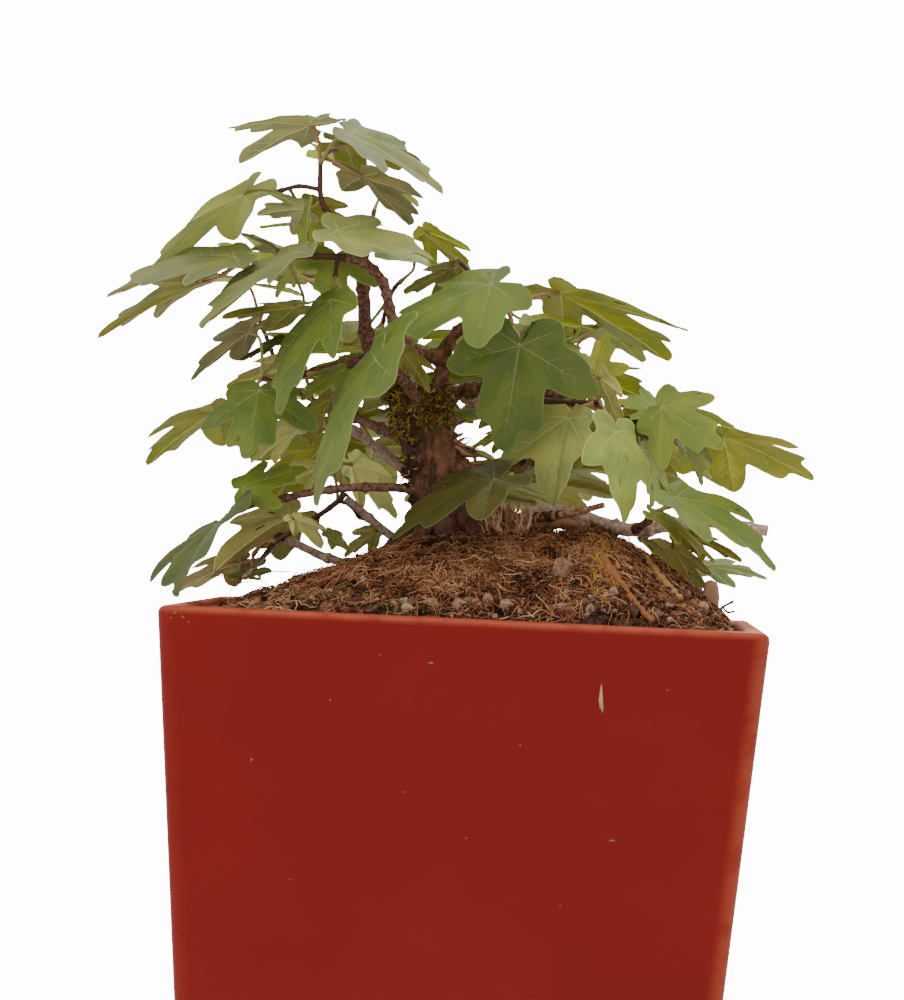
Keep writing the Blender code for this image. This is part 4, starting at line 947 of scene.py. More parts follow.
bark, flow, shader = finish_of("trunk_bark", {"Specular IOR Level": 0.25})
cracks = flow.grain(520, 5.0, 0.65, (1, 1, 0.35))
patches = flow.grain(150, 4.0, 0.6)
height = flow.along(2)
across = flow.along(0)
wood = cracks.rise(0.34, 0.62).tint((0.05, 0.018, 0.009), (0.29, 0.11, 0.056))
dry_and_painted_shade = patches.rise(0.5, 0.7).tint(wood, (0.33, 0.155, 0.09))
# Ochre moss at the fork's left, dark painted shade in patches down the left flank, and a painted shadow of
# the leaves at the foot
mossy = height.rise(203 * MM, 220 * MM) * (1 - across.rise(-4 * MM, 3 * MM))
mossy = mossy * flow.grain(330, 3.0, 0.6).rise(0.42, 0.6)
# Painted shade: the left flank darkened in patches
left = (1 - across.rise(-18 * MM, -12 * MM)) * flow.grain(200, 3.0, 0.6).rise(0.25, 0.6)
# Painted shadow: the foot, under the leaves, darkened a little
low = (1 - height.rise(200 * MM, 208 * MM)) * 0.45
dry_and_painted_shade = left.most(low).tint(dry_and_painted_shade, (0.03, 0.013, 0.009))
feed(flow, shader, base=mossy.tint(dry_and_painted_shade, (0.1, 0.06, 0.014)), roughness=patches * 0.15 + 0.4,
     bump=(cracks, 0.7, 0.8 * MM))
trunk.data.materials.append(bark)
settle(trunk, "trunk", "trunk")

# Moss on the trunk: ochre and yellow-green tufts round the fork and down the left flank.
# The short threads stand out from the bark, where the ray through a pixel meets it.
TRUNK_MOSS_THICK = 0.22 * MM
TRUNK_MOSS = [((398, 402), (11, 9), 130), ((418, 400), (10, 9), 90), ((444, 404), (5, 9), 80),
              ((402, 434), (6, 10), 50), ((396, 458), (4, 8), 26), ((381, 436), (6, 4), 40),
              ((408, 468), (4, 7), 14), ((432, 418), (9, 6), 60)]
skin_tree = BVHTree.FromPolygons([v.co.copy() for v in trunk.data.vertices],
                                 [tuple(p.vertices) for p in trunk.data.polygons])
trunk_moss = Batch()
for (px, py), (wide, high), count in TRUNK_MOSS:
    for _ in range(count):
        way = ray(rng.gauss(px, wide), rng.gauss(py, high)).normalized()
        spot, normal = skin_tree.ray_cast(EYE, way)[:2]
        if spot:
            up = normal + Vector((0, 0, rng.uniform(-0.6, 0.5)))
            tuft(trunk_moss, spot, up, 5, rng.uniform(0.8, 2.3) * MM, TRUNK_MOSS_THICK, (0, 1, 3, 4, 4, 5, 5))
settle(trunk_moss.make("trunk_moss", moss_finishes, False), "trunk")

# Frayed bark on the trunk's right, and root fibres that hang over the old stump below the lowest bough.
# They are thin fibres of the bark's brown. A fray has the pixels of its two ends.
FRAYS = [((452, 442), (478, 452)), ((454, 446), (474, 462)), ((452, 450), (482, 457)),
         ((454, 454), (468, 466)), ((450, 438), (466, 436)), ((456, 458), (478, 468)),
         ((452, 446), (470, 440)), ((455, 462), (470, 474))]
STUMP_FIBRES = 230
frays = Batch()


def strand(start, end, wander, pieces, thick, marks):
    """A fibre of torn bark between two places, bowed at its middle and thin at its end."""
    middle = (start + end) / 2 + Vector([rng.uniform(-wander, wander) * MM for _ in range(3)])
    route = smooth([start, middle, end], pieces)
    sizes = [s * MM for s in tapered(rng.uniform(0.3, thick), 0.1, len(route))]
    frays.add(*thread(route, sizes, 5), rng.choice(marks))


for (ax, ay), (bx, by) in FRAYS:
    for _ in range(3):
        start = seen(ax + rng.uniform(-2, 2), ay + rng.uniform(-2, 2), rng.uniform(-4, 2))
        end = seen(bx + rng.uniform(-6, 4), by + rng.uniform(-5, 5), rng.uniform(-6, 3))
        strand(start, end, 1.2, 4, 0.6, (0, 1))
for _ in range(STUMP_FIBRES):
    px = rng.uniform(482, 530)
    start = seen(px, 536 + rng.uniform(-4, 6), rng.uniform(-7, -1))
    end = seen(px + rng.uniform(-12, 8), rng.uniform(502, 524), rng.uniform(-6, 2))
    strand(start, end, 1.5, 3, 0.65, (0, 1, 1, 2))
# The stump's body behind its fibres, and a low ridge of old root wood under the bough
frays.add(*stick([(486, 534, 1), (500, 524, 1), (514, 521, 1), (526, 532, 1)], 5, 2.4, 3, 0.2, 9), 1)
frays.add(*stick([(526, 530, 3), (548, 524, 3), (572, 524, 3), (596, 530, 3)], 5, 1.5, 3, 0.2, 8), 1)
FRAY_TONES = {"dark": (150, 100, 74), "brown": (204, 150, 116), "tan": (232, 190, 158)}
settle(frays.make("frayed_bark", plains("fray", FRAY_TONES)), "trunk")

# The boughs
# Slender limbs that leave the trunk and bend between the leaves, grey-brown with ringed nodes and small buds.
# Each grows from the trunk or from another limb. One tapering tube a limb, with swellings at its nodes.
BARKS = {"limb_ringed": 1, "limb_apex": 2, "limb_pale": 3, "bough_grey": 3, "limb_far_right": 2,
         "shoot_young": 5, "bough_ground": 4, "bough_low_right": 4, "limb_knobbed": 2, "limb_upright": 2,
         "limb_upper_right": 2, "limb_left": 2}
BOUGH_STEP = 0.55
BOUGH_SIDES = 12
boughs = Batch()
rng = random.Random(21)
for name in LIMBS:
    path, sizes = closer(limb_route(name), limb_radii(name), BOUGH_STEP * MM)
    swell = [1.0] * len(path)
    # Ringed nodes, close together on one limb, and a collar at the limb's foot
    node = rng.uniform(6, 10)
    node_gap = (3.2, 4.4) if name == "limb_ringed" else (8.0, 13.0)
    while node < len(path) * BOUGH_STEP - 1:
        for k in range(len(path)):
            off = abs(k * BOUGH_STEP - node)
            swell[k] += 0.34 * math.exp(-(off / 0.75) ** 2)
        node += rng.uniform(*node_gap)
    swell = [value * (1 + 0.55 * math.exp(-k * BOUGH_STEP / 2.2)) for k, value in enumerate(swell)]
    points, faces = thread(path, [s * w for s, w in zip(sizes, swell)], BOUGH_SIDES)
    for k, place in enumerate(points):
        middle = path[k // BOUGH_SIDES]
        off = place - middle
        spot = place * 1000
        points[k] = middle + off * (1 + 0.1 * noise.noise(spot / 1.6) + 0.04 * noise.noise(spot / 0.6))
    boughs.add(points, faces, BARKS.get(name, 0))


def limb_bark(name, dark, light, pale):
    """Fine bark with pale specks."""
    paint, flow, shader = finish_of(name, {"Specular IOR Level": 0.25})
    lines = flow.grain(900, 4.0, 0.6)
    spots = flow.grain(2600, 2.0, 0.5)
    base = spots.rise(0.6, 0.7).tint(lines.rise(0.35, 0.65).tint(dark, light), pale)
    feed(flow, shader, base=base, roughness=lines * 0.15 + 0.62, bump=(lines, 0.5, 0.35 * MM))
    return paint


barks = [limb_bark("bark_brown", (0.09, 0.036, 0.022), (0.31, 0.155, 0.1), (0.38, 0.22, 0.15)),
         limb_bark("bark_ringed", (0.11, 0.04, 0.027), (0.36, 0.17, 0.12), (0.45, 0.27, 0.2)),
         limb_bark("bark_red_brown", (0.085, 0.032, 0.02), (0.27, 0.125, 0.082), (0.36, 0.2, 0.14)),
         limb_bark("bark_grey", (0.28, 0.17, 0.13), (0.54, 0.36, 0.285), (0.58, 0.42, 0.33)),
         limb_bark("bark_tan", (0.42, 0.25, 0.18), (0.8, 0.57, 0.44), (0.85, 0.7, 0.58)),
         limb_bark("bark_young", (0.34, 0.14, 0.08), (0.8, 0.42, 0.27), (0.85, 0.56, 0.4))]
settle(boughs.make("limb_bark", barks), "boughs", *LIMBS)

# The crown's rule
# Each mass grows from its limb's tip: a stem, side twigs where a leaf sits far off, a petiole and a blade.
# It is the same rule, seeds and order as the solids follow, so every leaf lies where its solid is.
LEAF_THICKNESS = 1.3 * MM
PETIOLE_RADIUS = 0.5 * MM
TWIG_RADIUS = 0.7 * MM
PETIOLE = 12 * MM
REACH = 23 * MM
SUNK = 1.4 * MM

OUTLINE = [(0, 1.0), (10, 0.87), (21, 0.80), (29, 0.62), (37, 0.47), (49, 0.70), (60, 0.82), (71, 0.70),
           (86, 0.43), (108, 0.46), (135, 0.28), (180, 0.08)]
RING = 2 * len(OUTLINE) - 2
LOBE_TURN = 60
LOBE_SHARE = 0.82
LOBE_ALONG = LOBE_SHARE * math.cos(math.radians(LOBE_TURN))
LOBE_ACROSS = LOBE_SHARE * math.sin(math.radians(LOBE_TURN))
SIDE_LOBE = (40, 80)
FOOT_LOBE = (80, 150)
FIT_ROUNDS = 6
FOLD_LIMITS = (-0.45, 0.3)
TURN_LIMITS = (0.8, 1.25)
SHARE_LIMITS = (0.8, 1.2)
EDGE_ON = 0.12


def limited(value, limits):
    return min(max(value, limits[0]), limits[1])


def leaf_form(seed):
    """A leaf's own arch, fold, ripple and lobes. The side lobes come first, then the two small ones."""
    pick = random.Random(seed)
    return {"arch": pick.uniform(0.06, 0.2), "fold": pick.uniform(-0.1, 0.1), "wave": pick.uniform(0, 6.28),
            "spread": [pick.uniform(0.92, 1.1) for _ in range(2)],
            "lobes": [pick.uniform(0.93, 1.06) for _ in range(4)]}


def bend(form, along, across):
    """Height of the blade over its flat outline, all in shares of the length."""
    far = math.hypot(along, across)
    ripple = 0.02 * math.sin(9 * math.atan2(across, along) + form["wave"])
    return -form["arch"] * far * far + form["fold"] * abs(across) + ripple * far


def opened(angle, spread):
    """An outline angle after its side lobe has opened or closed. The leaf's foot stays as it is."""
    if angle > FOOT_LOBE[1]:
        return angle
    return angle * (1 + (spread - 1) * min(1, angle / LOBE_TURN))


def outline_point(form, place):
    """One of the outline's points, counted round the leaf from its tip."""
    side = 1 if place < len(OUTLINE) else -1
    index = place if side > 0 else RING - place
    angle, share = OUTLINE[index]
    if SIDE_LOBE[0] < angle < SIDE_LOBE[1]:
        share *= form["lobes"][0 if side > 0 else 1]
    elif FOOT_LOBE[0] < angle < FOOT_LOBE[1]:
        share *= form["lobes"][2 if side > 0 else 3]
    turn = math.radians(opened(angle, form["spread"][0 if side > 0 else 1])) * side
    return share * math.cos(turn), share * math.sin(turn)


def blade_place(frame, form, along, across):
    """Place in space of a point of the blade."""
    root, axis, side, normal, length = frame
    return root + (axis * along + side * across + normal * bend(form, along, across)) * length


def turned_frame(root, aims, face):
    """Root, axis, side, normal and length of a leaf whose tip and side lobes show at three flat offsets."""
    along = aims[0]
    across = (aims[1] - aims[2]) / (2 * LOBE_ACROSS)
    product = along.dot(across)
    spread = math.hypot(along.length_squared - across.length_squared, 2 * product)
    squared = (along.length_squared + across.length_squared + spread) / 2
    deep_along = math.sqrt(max(0, squared - along.length_squared))
    deep_across = math.copysign(math.sqrt(max(0, squared - across.length_squared)), -product)
    view = (root - EYE).normalized()
    choices = []
    for sign in (1, -1):
        axis = (along + view * deep_along * sign).normalized()
        normal = axis.cross(across + view * deep_across * sign).normalized()
        if normal.dot(view) * face > 0:
            normal = -normal
        choices.append((normal.z, axis, normal))
    axis, normal = max(choices, key=lambda choice: choice[0])[1:]
    side = normal.cross(axis).normalized()
    hand = 1 if side.dot(across) > 0 else -1
    return (root, axis, side, normal, math.sqrt(squared)), hand


def leaf_frame(leaf, shift, form):
    """Turns a leaf so that it shows at its pixels, and gives its form the fold and lobes that this takes."""
    foot, tip, one, other, depth, face = leaf
    root = seen(*foot, depth + shift)
    wanted = [seen(*place, depth + shift) - root for place in (tip, one, other)]
    aims = list(wanted)
    for _ in range(FIT_ROUNDS):
        frame, hand = turned_frame(root, aims, face)
        normal, length = frame[3:]
        miss = []
        for want, share, turn in zip(wanted, (1, LOBE_ALONG, LOBE_ALONG), (0, hand, -hand)):
            place = blade_place(frame, form, share, LOBE_ACROSS * turn)
            shown = EYE + (place - EYE) * (root.y - EYE.y) / (place.y - EYE.y) - root
            miss.append(want - shown)
        aims = [aim + off for aim, off in zip(aims, miss)]
        flat = Vector((normal.x, 0, normal.z))
        if flat.length_squared > EDGE_ON:
            lift = (miss[1] + miss[2]).dot(flat) / (2 * flat.length_squared * LOBE_ACROSS * length)
            form["fold"] = limited(form["fold"] + lift, FOLD_LIMITS)
    along, across = frame[1] * length, frame[2] * length
    spread = along.x * across.z - along.z * across.x
    if abs(spread) > EDGE_ON * length ** 2:
        for index, mark in enumerate(wanted[1:] if hand > 0 else wanted[:0:-1]):
            spot = mark - flat * bend(form, LOBE_ALONG, LOBE_ACROSS) * length
            share_along = (spot.x * across.z - spot.z * across.x) / spread
            share_across = (along.x * spot.z - along.z * spot.x) / spread
            turn = math.degrees(math.atan2(abs(share_across), share_along))
            form["spread"][index] = limited(turn / LOBE_TURN, TURN_LIMITS)
            form["lobes"][index] = limited(math.hypot(share_along, share_across) / LOBE_SHARE, SHARE_LIMITS)
    return frame


def blade_points(frame, form):
    """Outline points of a leaf in space with room to spare, then its middle's under and upper point."""
    root, axis, side, normal, length = frame
    grown = (root, axis, side, normal, length * SPARE)
    out = [blade_place(grown, form, *outline_point(form, place)) for place in range(RING)]
    thick = normal * LEAF_THICKNESS / 2 * SPARE
    return out + [root - thick, root + thick]


def stalk_route(start, frame):
    """A petiole's curve, which enters the leaf from behind and below."""
    root, axis, normal = frame[0], frame[1], frame[3]
    span = (root - start).length
    knee = root - axis * span * 0.35 - normal * span * 0.12
    middle = start * 0.25 + knee * 0.5 + root * 0.25
    return [start, middle, root - axis * SUNK]


def twig_route(start, end):
    """A side twig with a slight upward bow."""
    middle = (start + end) / 2 + Vector((0, 0, (end - start).length * 0.08))
    return [start, middle, end]


# Each mass: the limb whose tip carries it, the places its stem passes, and its leaves. A leaf has the pixels
# of its foot, tip and two side lobes, the foot's depth, and the face that shows (-1 is the underside).
MASSES = {
    "foliage_apex": ("limb_apex", [(336, 222, 0), (321, 200, -2), (320, 163, -3)], [
        ((309, 124), (229, 127), (237, 160), (330, 116), -5, -1),
        ((352, 133), (444, 195), (404, 142), (385, 177), -10, 1),
        ((345, 143), (428, 178), (405, 147), (352, 173), 10, -1),
        ((243, 192), (144, 276), (176, 232), (222, 249), 12, -1),
        ((363, 176), (411, 227), (336, 181), (423, 200), 2, -1),
        ((304, 208), (256, 214), (272, 193), (290, 231), 0, -1),
        ((309, 207), (362, 240), (350, 206), (318, 254), 10, -1),
        ((337, 231), (433, 260), (375, 216), (366, 262), -16, 1),
        ((306, 244), (304, 195), (296, 222), (312, 222), -6, 1),
    ]),
    "foliage_upper_left": ("limb_ringed", [(322, 256, -8), (296, 256, -8), (262, 262, -6)], [
        ((297, 252), (198, 331), (212, 290), (266, 290), -24, 1),
        ((234, 257), (105, 297), (165, 254), (194, 291), -6, 1),
        ((198, 282), (97, 337), (150, 285), (151, 320), 12, -1),
        ((332, 300), (279, 417), (266, 366), (338, 363), -28, 1),
        ((335, 257), (325, 308), (297, 269), (378, 286), -2, 1),
        ((277, 249), (240, 233), (250, 246), (258, 236), 10, -1),
        ((301, 264), (276, 298), (268, 280), (287, 290), 4, -1),
        ((296, 306), (221, 318), (260, 328), (262, 304), 0, -1),
    ]),
    "foliage_upper_middle": ("limb_upper_right", [(500, 300, -9), (474, 276, -4), (460, 262, 0)], [
        ((427, 231), (471, 276), (473, 252), (432, 263), 4, -1),
        ((452, 268), (404, 293), (424, 271), (430, 301), 2, -1),
        ((491, 285), (382, 337), (440, 284), (481, 355), -30, 1),
        ((560, 293), (668, 361), (685, 331), (566, 332), 4, -1),
        ((530, 320), (593, 331), (557, 316), (554, 332), -10, 1),
        ((519, 346), (501, 453), (447, 366), (597, 394), -30, 1),
        ((524, 338), (592, 365), (572, 334), (540, 365), -10, 1),
    ]),
    "foliage_right": ("limb_knobbed", [(552, 402, -6), (580, 404, -12), (600, 402, -16)], [
        ((569, 418), (554, 507), (493, 470), (592, 470), -20, 1),
        ((616, 432), (622, 524), (583, 464), (650, 484), -24, 1),
        ((594, 372), (600, 334), (580, 356), (629, 367), 2, -1),
        ((600, 378), (622, 430), (588, 405), (622, 396), 2, -1),
        ((602, 421), (581, 459), (580, 435), (605, 443), 2, -1),
        ((500, 412), (452, 416), (474, 406), (480, 430), -2, 1),
        ((508, 432), (474, 447), (486, 434), (492, 452), 6, -1),
    ]),
    "foliage_far_right": ("limb_far_right", [(640, 424, 7), (664, 416, 5), (700, 424, 3)], [
        ((661, 408), (722, 449), (714, 396), (662, 469), -6, 1),
        ((723, 437), (815, 481), (793, 446), (735, 493), 0, -1),
        ((676, 436), (701, 486), (684, 460), (714, 461), 8, 1),
        ((656, 410), (616, 402), (640, 388), (630, 420), -8, 1),
        ((624, 426), (660, 437), (650, 417), (638, 449), 2, 1),
        ((646, 450), (651, 508), (634, 482), (668, 488), -4, 1),
        ((652, 474), (712, 506), (686, 483), (664, 500), 2, 1),
    ]),
    "foliage_right_low": ("spur_right", [(656, 514, -8), (664, 508, -9), (676, 505, -10)], [
        ((676, 498), (773, 571), (757, 517), (704, 542), -24, 1),
        ((656, 517), (714, 563), (684, 529), (676, 545), -14, 1),
    ]),
    "foliage_right_rear": ("spur_right_rear", [(690, 527, 24), (695, 531, 28), (694, 537, 32)], [
        ((684, 534), (741, 562), (714, 540), (702, 560), 12, -1),
        ((673, 547), (700, 600), (648, 576), (710, 574), 34, -1),
        ((704, 566), (765, 579), (735, 561), (733, 587), 38, 1),
        ((640, 538), (662, 551), (648, 536), (652, 552), 24, -1),
    ]),
    "foliage_left": ("limb_left", [(292, 376, -4), (276, 382, -4), (262, 378, -2)], [
        ((247, 331), (191, 380), (217, 338), (232, 358), 2, -1),
        ((288, 366), (226, 388), (260, 361), (270, 391), 10, -1),
        ((214, 412), (145, 466), (150, 436), (214, 441), 4, -1),
        ((259, 391), (245, 459), (202, 430), (317, 432), -16, 1),
        ((342, 371), (302, 400), (311, 375), (343, 398), -6, 1),
        ((298, 428), (250, 464), (270, 428), (270, 461), 12, -1),
        ((330, 398), (311, 446), (300, 424), (334, 421), 2, -1),
        ((280, 340), (240, 361), (258, 344), (262, 357), 6, 1),
    ]),
    "foliage_low_left": ("bough_low_left", [(250, 506, -12), (236, 512, -13), (226, 516, -14)], [
        ((215, 526), (178, 595), (148, 583), (254, 510), -20, 1),
        ((243, 487), (306, 469), (262, 462), (282, 509), -18, 1),
    ]),
    "foliage_low_rear": ("bough_grey", [(338, 501, 9), (319, 515, 9), (276, 541, 10)], [
        ((290, 516), (213, 572), (236, 520), (276, 560), 12, -1),
        ((320, 468), (272, 488), (294, 463), (306, 492), 18, -1),
        ((294, 518), (322, 550), (292, 536), (329, 531), 16, -1),
        ((352, 464), (396, 518), (394, 478), (358, 508), 22, -1),
        ((240, 562), (172, 594), (198, 566), (230, 588), 34, -1),
        ((330, 534), (350, 553), (341, 534), (333, 549), 22, 1),
        ((376, 530), (345, 557), (354, 532), (370, 553), 34, -1),
    ]),
    "foliage_ground": ("bough_ground", [(272, 546, 22), (262, 558, 6), (254, 566, -14)], [
        ((250, 577), (203, 577), (226, 570), (226, 595), -27, 1),
        ((250, 574), (294, 572), (262, 558), (272, 588), -30, 1),
    ]),
    "foliage_front": ("limb_front", [(390, 358, -27), (396, 350, -28), (401, 346, -29)], [
        ((376, 360), (316, 511), (342, 410), (408, 388), -36, 1),
        ((404, 352), (428, 391), (402, 378), (437, 372), -4, -1),
    ]),
    "foliage_front_low": ("limb_front_low", [(528, 464, -20), (522, 470, -24), (512, 474, -27)], [
        ((494, 481), (392, 542), (434, 487), (486, 522), -26, 1),
    ]),
}

# Rear masses, grown by a seeded rule inside a ball: limb, the ball's middle and radius, and how many leaves
REAR = {
    "foliage_rear_top": ("limb_rear_top", (366, 262, 48), 38, 9),
    "foliage_rear_right": ("limb_rear_right", (560, 370, 52), 40, 8),
    "foliage_rear_left": ("limb_rear_left", (280, 384, 52), 42, 8),
    "foliage_rear_low": ("limb_rear_low", (440, 440, 62), 40, 8),
}
# The crown's outline in the photograph, and the sky that shows through it: middle and radius in pixels
CROWN = [(236, 120), (345, 108), (445, 195), (480, 270), (620, 292), (688, 340), (640, 378), (722, 392),
         (820, 490), (775, 575), (700, 600), (560, 530), (250, 555), (150, 595), (150, 400), (95, 340),
         (110, 280), (235, 185)]
SKY = [(337, 190, 12), (302, 176, 12), (482, 440, 16), (386, 510, 16), (400, 520, 16), (360, 545, 18),
       (380, 275, 14), (200, 350, 30), (215, 480, 25), (250, 300, 14), (180, 460, 50)]
CROWN_HEART = (430, 420)
REAR_LENGTHS = (24, 33)
SHIFTS = [0, -3, 3, -6, 6, -9, 9, -13, 13, -17, 17, -22, 22]
ATTEMPTS = 400
SEED_STEP = 100
# A leaf is tested a little larger than it is, so that gaps stay
SPARE = 1.06

# Each leaf's upper and under tone, in the order of its mass. A third mark means
# a middle lobe without shoulders; "b" is broad with shallow notches, "n" is narrow and "r" has no lobes.
TONES = {
    "foliage_apex": ["gpn", "bm", "gm", "gw", "ga", "gp", "go", "po", "cm"],
    "foliage_upper_left": ["hm", "hm", "gm", "gm", "rm", "bk", "gw", "gm"],
    "foliage_upper_middle": ["dv", "gk", "go", "gv", "ym", "em", "pk"],
    "foliage_right": ["pmb", "rmb", "yo", "yw", "gk", "dk", "go"],
    "foliage_far_right": ["co", "yo", "bm", "qm", "xm", "qm", "bm"],
    "foliage_right_low": ["do", "ym"],
    "foliage_right_rear": ["do", "gw", "cm", "dw"],
    "foliage_left": ["ga", "yl", "yo", "gm", "cm", "yw", "gm", "em"],
    "foliage_low_left": ["xm", "dk"],
    "foliage_low_rear": ["ywb", "ywb", "gwb", "yw", "yp", "qmb", "yw"],
    "foliage_ground": ["ekr", "skr"],
    "foliage_front": ["gm", "gm"],
    "foliage_front_low": ["nk"],
}
REAR_TONES = ["gv", "yo", "rv", "yo", "gv", "yo"]


# What is placed so far, for the tests of a new leaf or twig: the blades, and the wood with its owner's name
placed_blades = []
placed_wood = []


def blade_tree(points):
    """A blade's faces, to test for touching."""
    fan = [(k, (k + 1) % RING, RING + middle) for middle in (0, 1) for k in range(RING)]
    return BVHTree.FromPolygons(points, fan)


def wood_tree(route, radii):
    """A four-sided tube along a stem, to test for touching."""
    points, faces = [], []
    for place, ahead, radius in zip(route, route[1:] + [2 * route[-1] - route[-2]], radii):
        way = (ahead - place).normalized()
        one = way.orthogonal().normalized() * radius
        two = way.cross(one)
        points += [place + one * math.cos(a) + two * math.sin(a) for a in (0, 1.571, 3.142, 4.712)]
    for ring in range(len(route) - 1):
        for side in range(4):
            a, b = 4 * ring + side, 4 * ring + (side + 1) % 4
            faces.append((a, b, b + 4, a + 4))
    return BVHTree.FromPolygons(points, faces)


def hits(new, old):
    return any(new.overlap(other) for other in old)


def clear_of_pot(points):
    """True where no point is in the soil, in the pot or beside its wall."""
    for place in points:
        off = off_middle(place.x, place.y)
        if place.z < mound(place.x, place.y) + MM and off < RIM_WIDTH / 2:
            return False
        if place.z < POT_HEIGHT + MM and off < RIM_WIDTH / 2 + 2 * MM:
            return False
    return True


def inside(px, py, outline):
    """True where a pixel is inside a closed outline."""
    odd = False
    for (ax, ay), (bx, by) in zip(outline, outline[1:] + outline[:1]):
        if (ay > py) != (by > py) and px < ax + (py - ay) * (bx - ax) / (by - ay):
            odd = not odd
    return odd


def clear_of_sky(points):
    """True where every point shows inside the crown and none covers a gap in it."""
    for place in points:
        way = (place - EYE) / (place.y - EYE.y)
        across = way.x * FOCAL + LEVEL_PIXEL[0]
        down = LEVEL_PIXEL[1] - way.z * FOCAL
        px = across - TILT * (down - TURN_PIXEL[1])
        py = down + TILT * (px - TURN_PIXEL[0])
        if not inside(px, py, CROWN) or any(math.hypot(px - x, py - y) < radius for x, y, radius in SKY):
            return False
    return True


def near_wood(place, skeleton):
    return min(skeleton, key=lambda spot: (spot - place).length)


def grow_leaf(mass, frame, form, skeleton, strict, tones):
    """Adds a leaf with its petiole, and a twig where the stem is too far, if all of it is clear."""
    start = near_wood(frame[0], skeleton)
    twig = None
    if (start - frame[0]).length > REACH:
        end = frame[0] + (start - frame[0]).normalized() * PETIOLE
        twig = twig_route(start, end)
        start = end
    stalk = stalk_route(start, frame)
    points = blade_points(frame, form)
    if not clear_of_pot(points + stalk[1:]):
        return False
    if strict and not clear_of_sky(points):
        return False
    leaf_tree = blade_tree(points)
    stalk_tree = wood_tree(stalk, [PETIOLE_RADIUS + GAP] * 3)
    wood = [tree for _, tree in placed_wood]
    others = [tree for owner, tree in placed_wood if owner != mass["name"]]
    if hits(leaf_tree, placed_blades + wood) or hits(stalk_tree, placed_blades + others):
        return False
    if twig:
        twig_tree = wood_tree(twig, [TWIG_RADIUS + GAP] * 3)
        if hits(twig_tree, placed_blades + others + [leaf_tree]):
            return False
        placed_wood.append((mass["name"], twig_tree))
        mass["twigs"].append(twig)
        skeleton += smooth(twig, 4)[1:]
    placed_wood.append((mass["name"], stalk_tree))
    placed_blades.append(leaf_tree)
    mass["leaves"].append((frame, form, stalk, tones))
    return True


def start_mass(name, limb, places):
    """The mass's stem, which starts one gap past its limb's tip."""
    route = limb_route(limb)
    way = (route[-1] - route[-2]).normalized()
    first = route[-1] + way * GAP
    stem = smooth([first, first + way * (places[0] - first).length / 3] + places, 3)
    radii = tapered(LIMBS[limb][1] * MM, TWIG_RADIUS, len(stem))
    placed_wood.append((name, wood_tree(stem, [r + GAP for r in radii])))
    return {"name": name, "stem": stem, "radii": radii, "twigs": [], "leaves": []}


def rear_leaf(pick, centre, radius):
    """A leaf anywhere in a rear mass's ball, which hangs outward from the tree."""
    while True:
        spot = Vector([pick.uniform(-1, 1) for _ in range(3)])
        if 0.35 < spot.length < 1:
            break
    root = centre + spot * radius * 0.8
    outward = (root - seen(*CROWN_HEART)).normalized()
    droop = Vector((pick.uniform(-0.5, 0.5), pick.uniform(-0.2, 0.6), pick.uniform(-0.7, 0.0)))
    axis = (outward + droop).normalized()
    up = Vector((0.3 * outward.x, 0.5, 1))
    normal = (up - axis * up.dot(axis)).normalized()
    return root, axis, normal.cross(axis), normal, pick.uniform(*REAR_LENGTHS) * MM


def plan_tree():
    """Works out every stem, twig, petiole and leaf before anything is modelled."""
    for name in LIMBS:
        placed_wood.append((name, wood_tree(limb_route(name), [r + GAP for r in limb_radii(name)])))
    trunk_route = [seen(*place) for place in TRUNK]
    placed_wood.append(("trunk", wood_tree(trunk_route, [(r + 1) * MM for r in TRUNK_RADII])))
    masses = []
    for name, (limb, places, _) in MASSES.items():
        masses.append(start_mass(name, limb, [seen(*place) for place in places]))
    for name, (limb, centre, _, _) in REAR.items():
        masses.append(start_mass(name, limb, [seen(*centre)]))
    for order, mass in enumerate(masses):
        skeleton = list(mass["stem"][3:])
        if mass["name"] in MASSES:
            for number, leaf in enumerate(MASSES[mass["name"]][2]):
                tones = TONES[mass["name"]][number]
                for shift in SHIFTS:
                    form = leaf_form(SEED_STEP * order + number)
                    if grow_leaf(mass, leaf_frame(leaf, shift, form), form, skeleton, False, tones):
                        break
        else:
            centre, radius, count = REAR[mass["name"]][1:]
            pick = random.Random(order)
            for attempt in range(ATTEMPTS):
                frame = rear_leaf(pick, seen(*centre), radius * MM)
                form = leaf_form(SEED_STEP * order + attempt)
                if len(mass["leaves"]) < count:
                    grow_leaf(mass, frame, form, skeleton, True, REAR_TONES[attempt % len(REAR_TONES)])
    return masses


masses = plan_tree()

# Twigs and petioles
# Brown stems and side twigs with small buds, and smooth petioles, tan to orange, that carry the blades.
# Each petiole leaves its twig with a small foot and widens where the blade's veins meet.
STEM_STEP = 0.8
TWIG_STEP = 1.1
stalks = Batch()
rng = random.Random(31)


def buds(count, step, gap, width, height):
    """Swellings at even gaps along a stem, one share for each of its rings."""
    return [1 + height * math.exp(-((k * step) % gap / width) ** 2) for k in range(count)]


for mass in masses:
    path, sizes = closer(mass["stem"], mass["radii"], STEM_STEP * MM)
    bumps = buds(len(path), STEM_STEP, 7.5, 0.8, 0.25)
    stalks.add(*thread(path, [s * 0.92 * b for s, b in zip(sizes, bumps)], 8), 0)
    for twig in mass["twigs"]:
        path = smooth(twig, 6)
        sizes = [0.62 * MM * b for b in buds(len(path), TWIG_STEP, 6.0, 0.9, 0.3)]
        stalks.add(*thread(path, sizes, 7), rng.choice((0, 0, 1)))
    for frame_of, _, stalk, _ in mass["leaves"]:
        path = smooth([stalk[0], stalk[1], frame_of[0] - frame_of[3] * 0.1 * MM], 6)
        last = len(path) - 1
        sizes = [(0.42 + 0.3 * math.exp(-k / 1.2) + 0.22 * math.exp(-(last - k) / 1.5)) * MM
                 for k in range(len(path))]
        stalks.add(*thread(path, sizes, 7), rng.choice((2, 3, 3)))
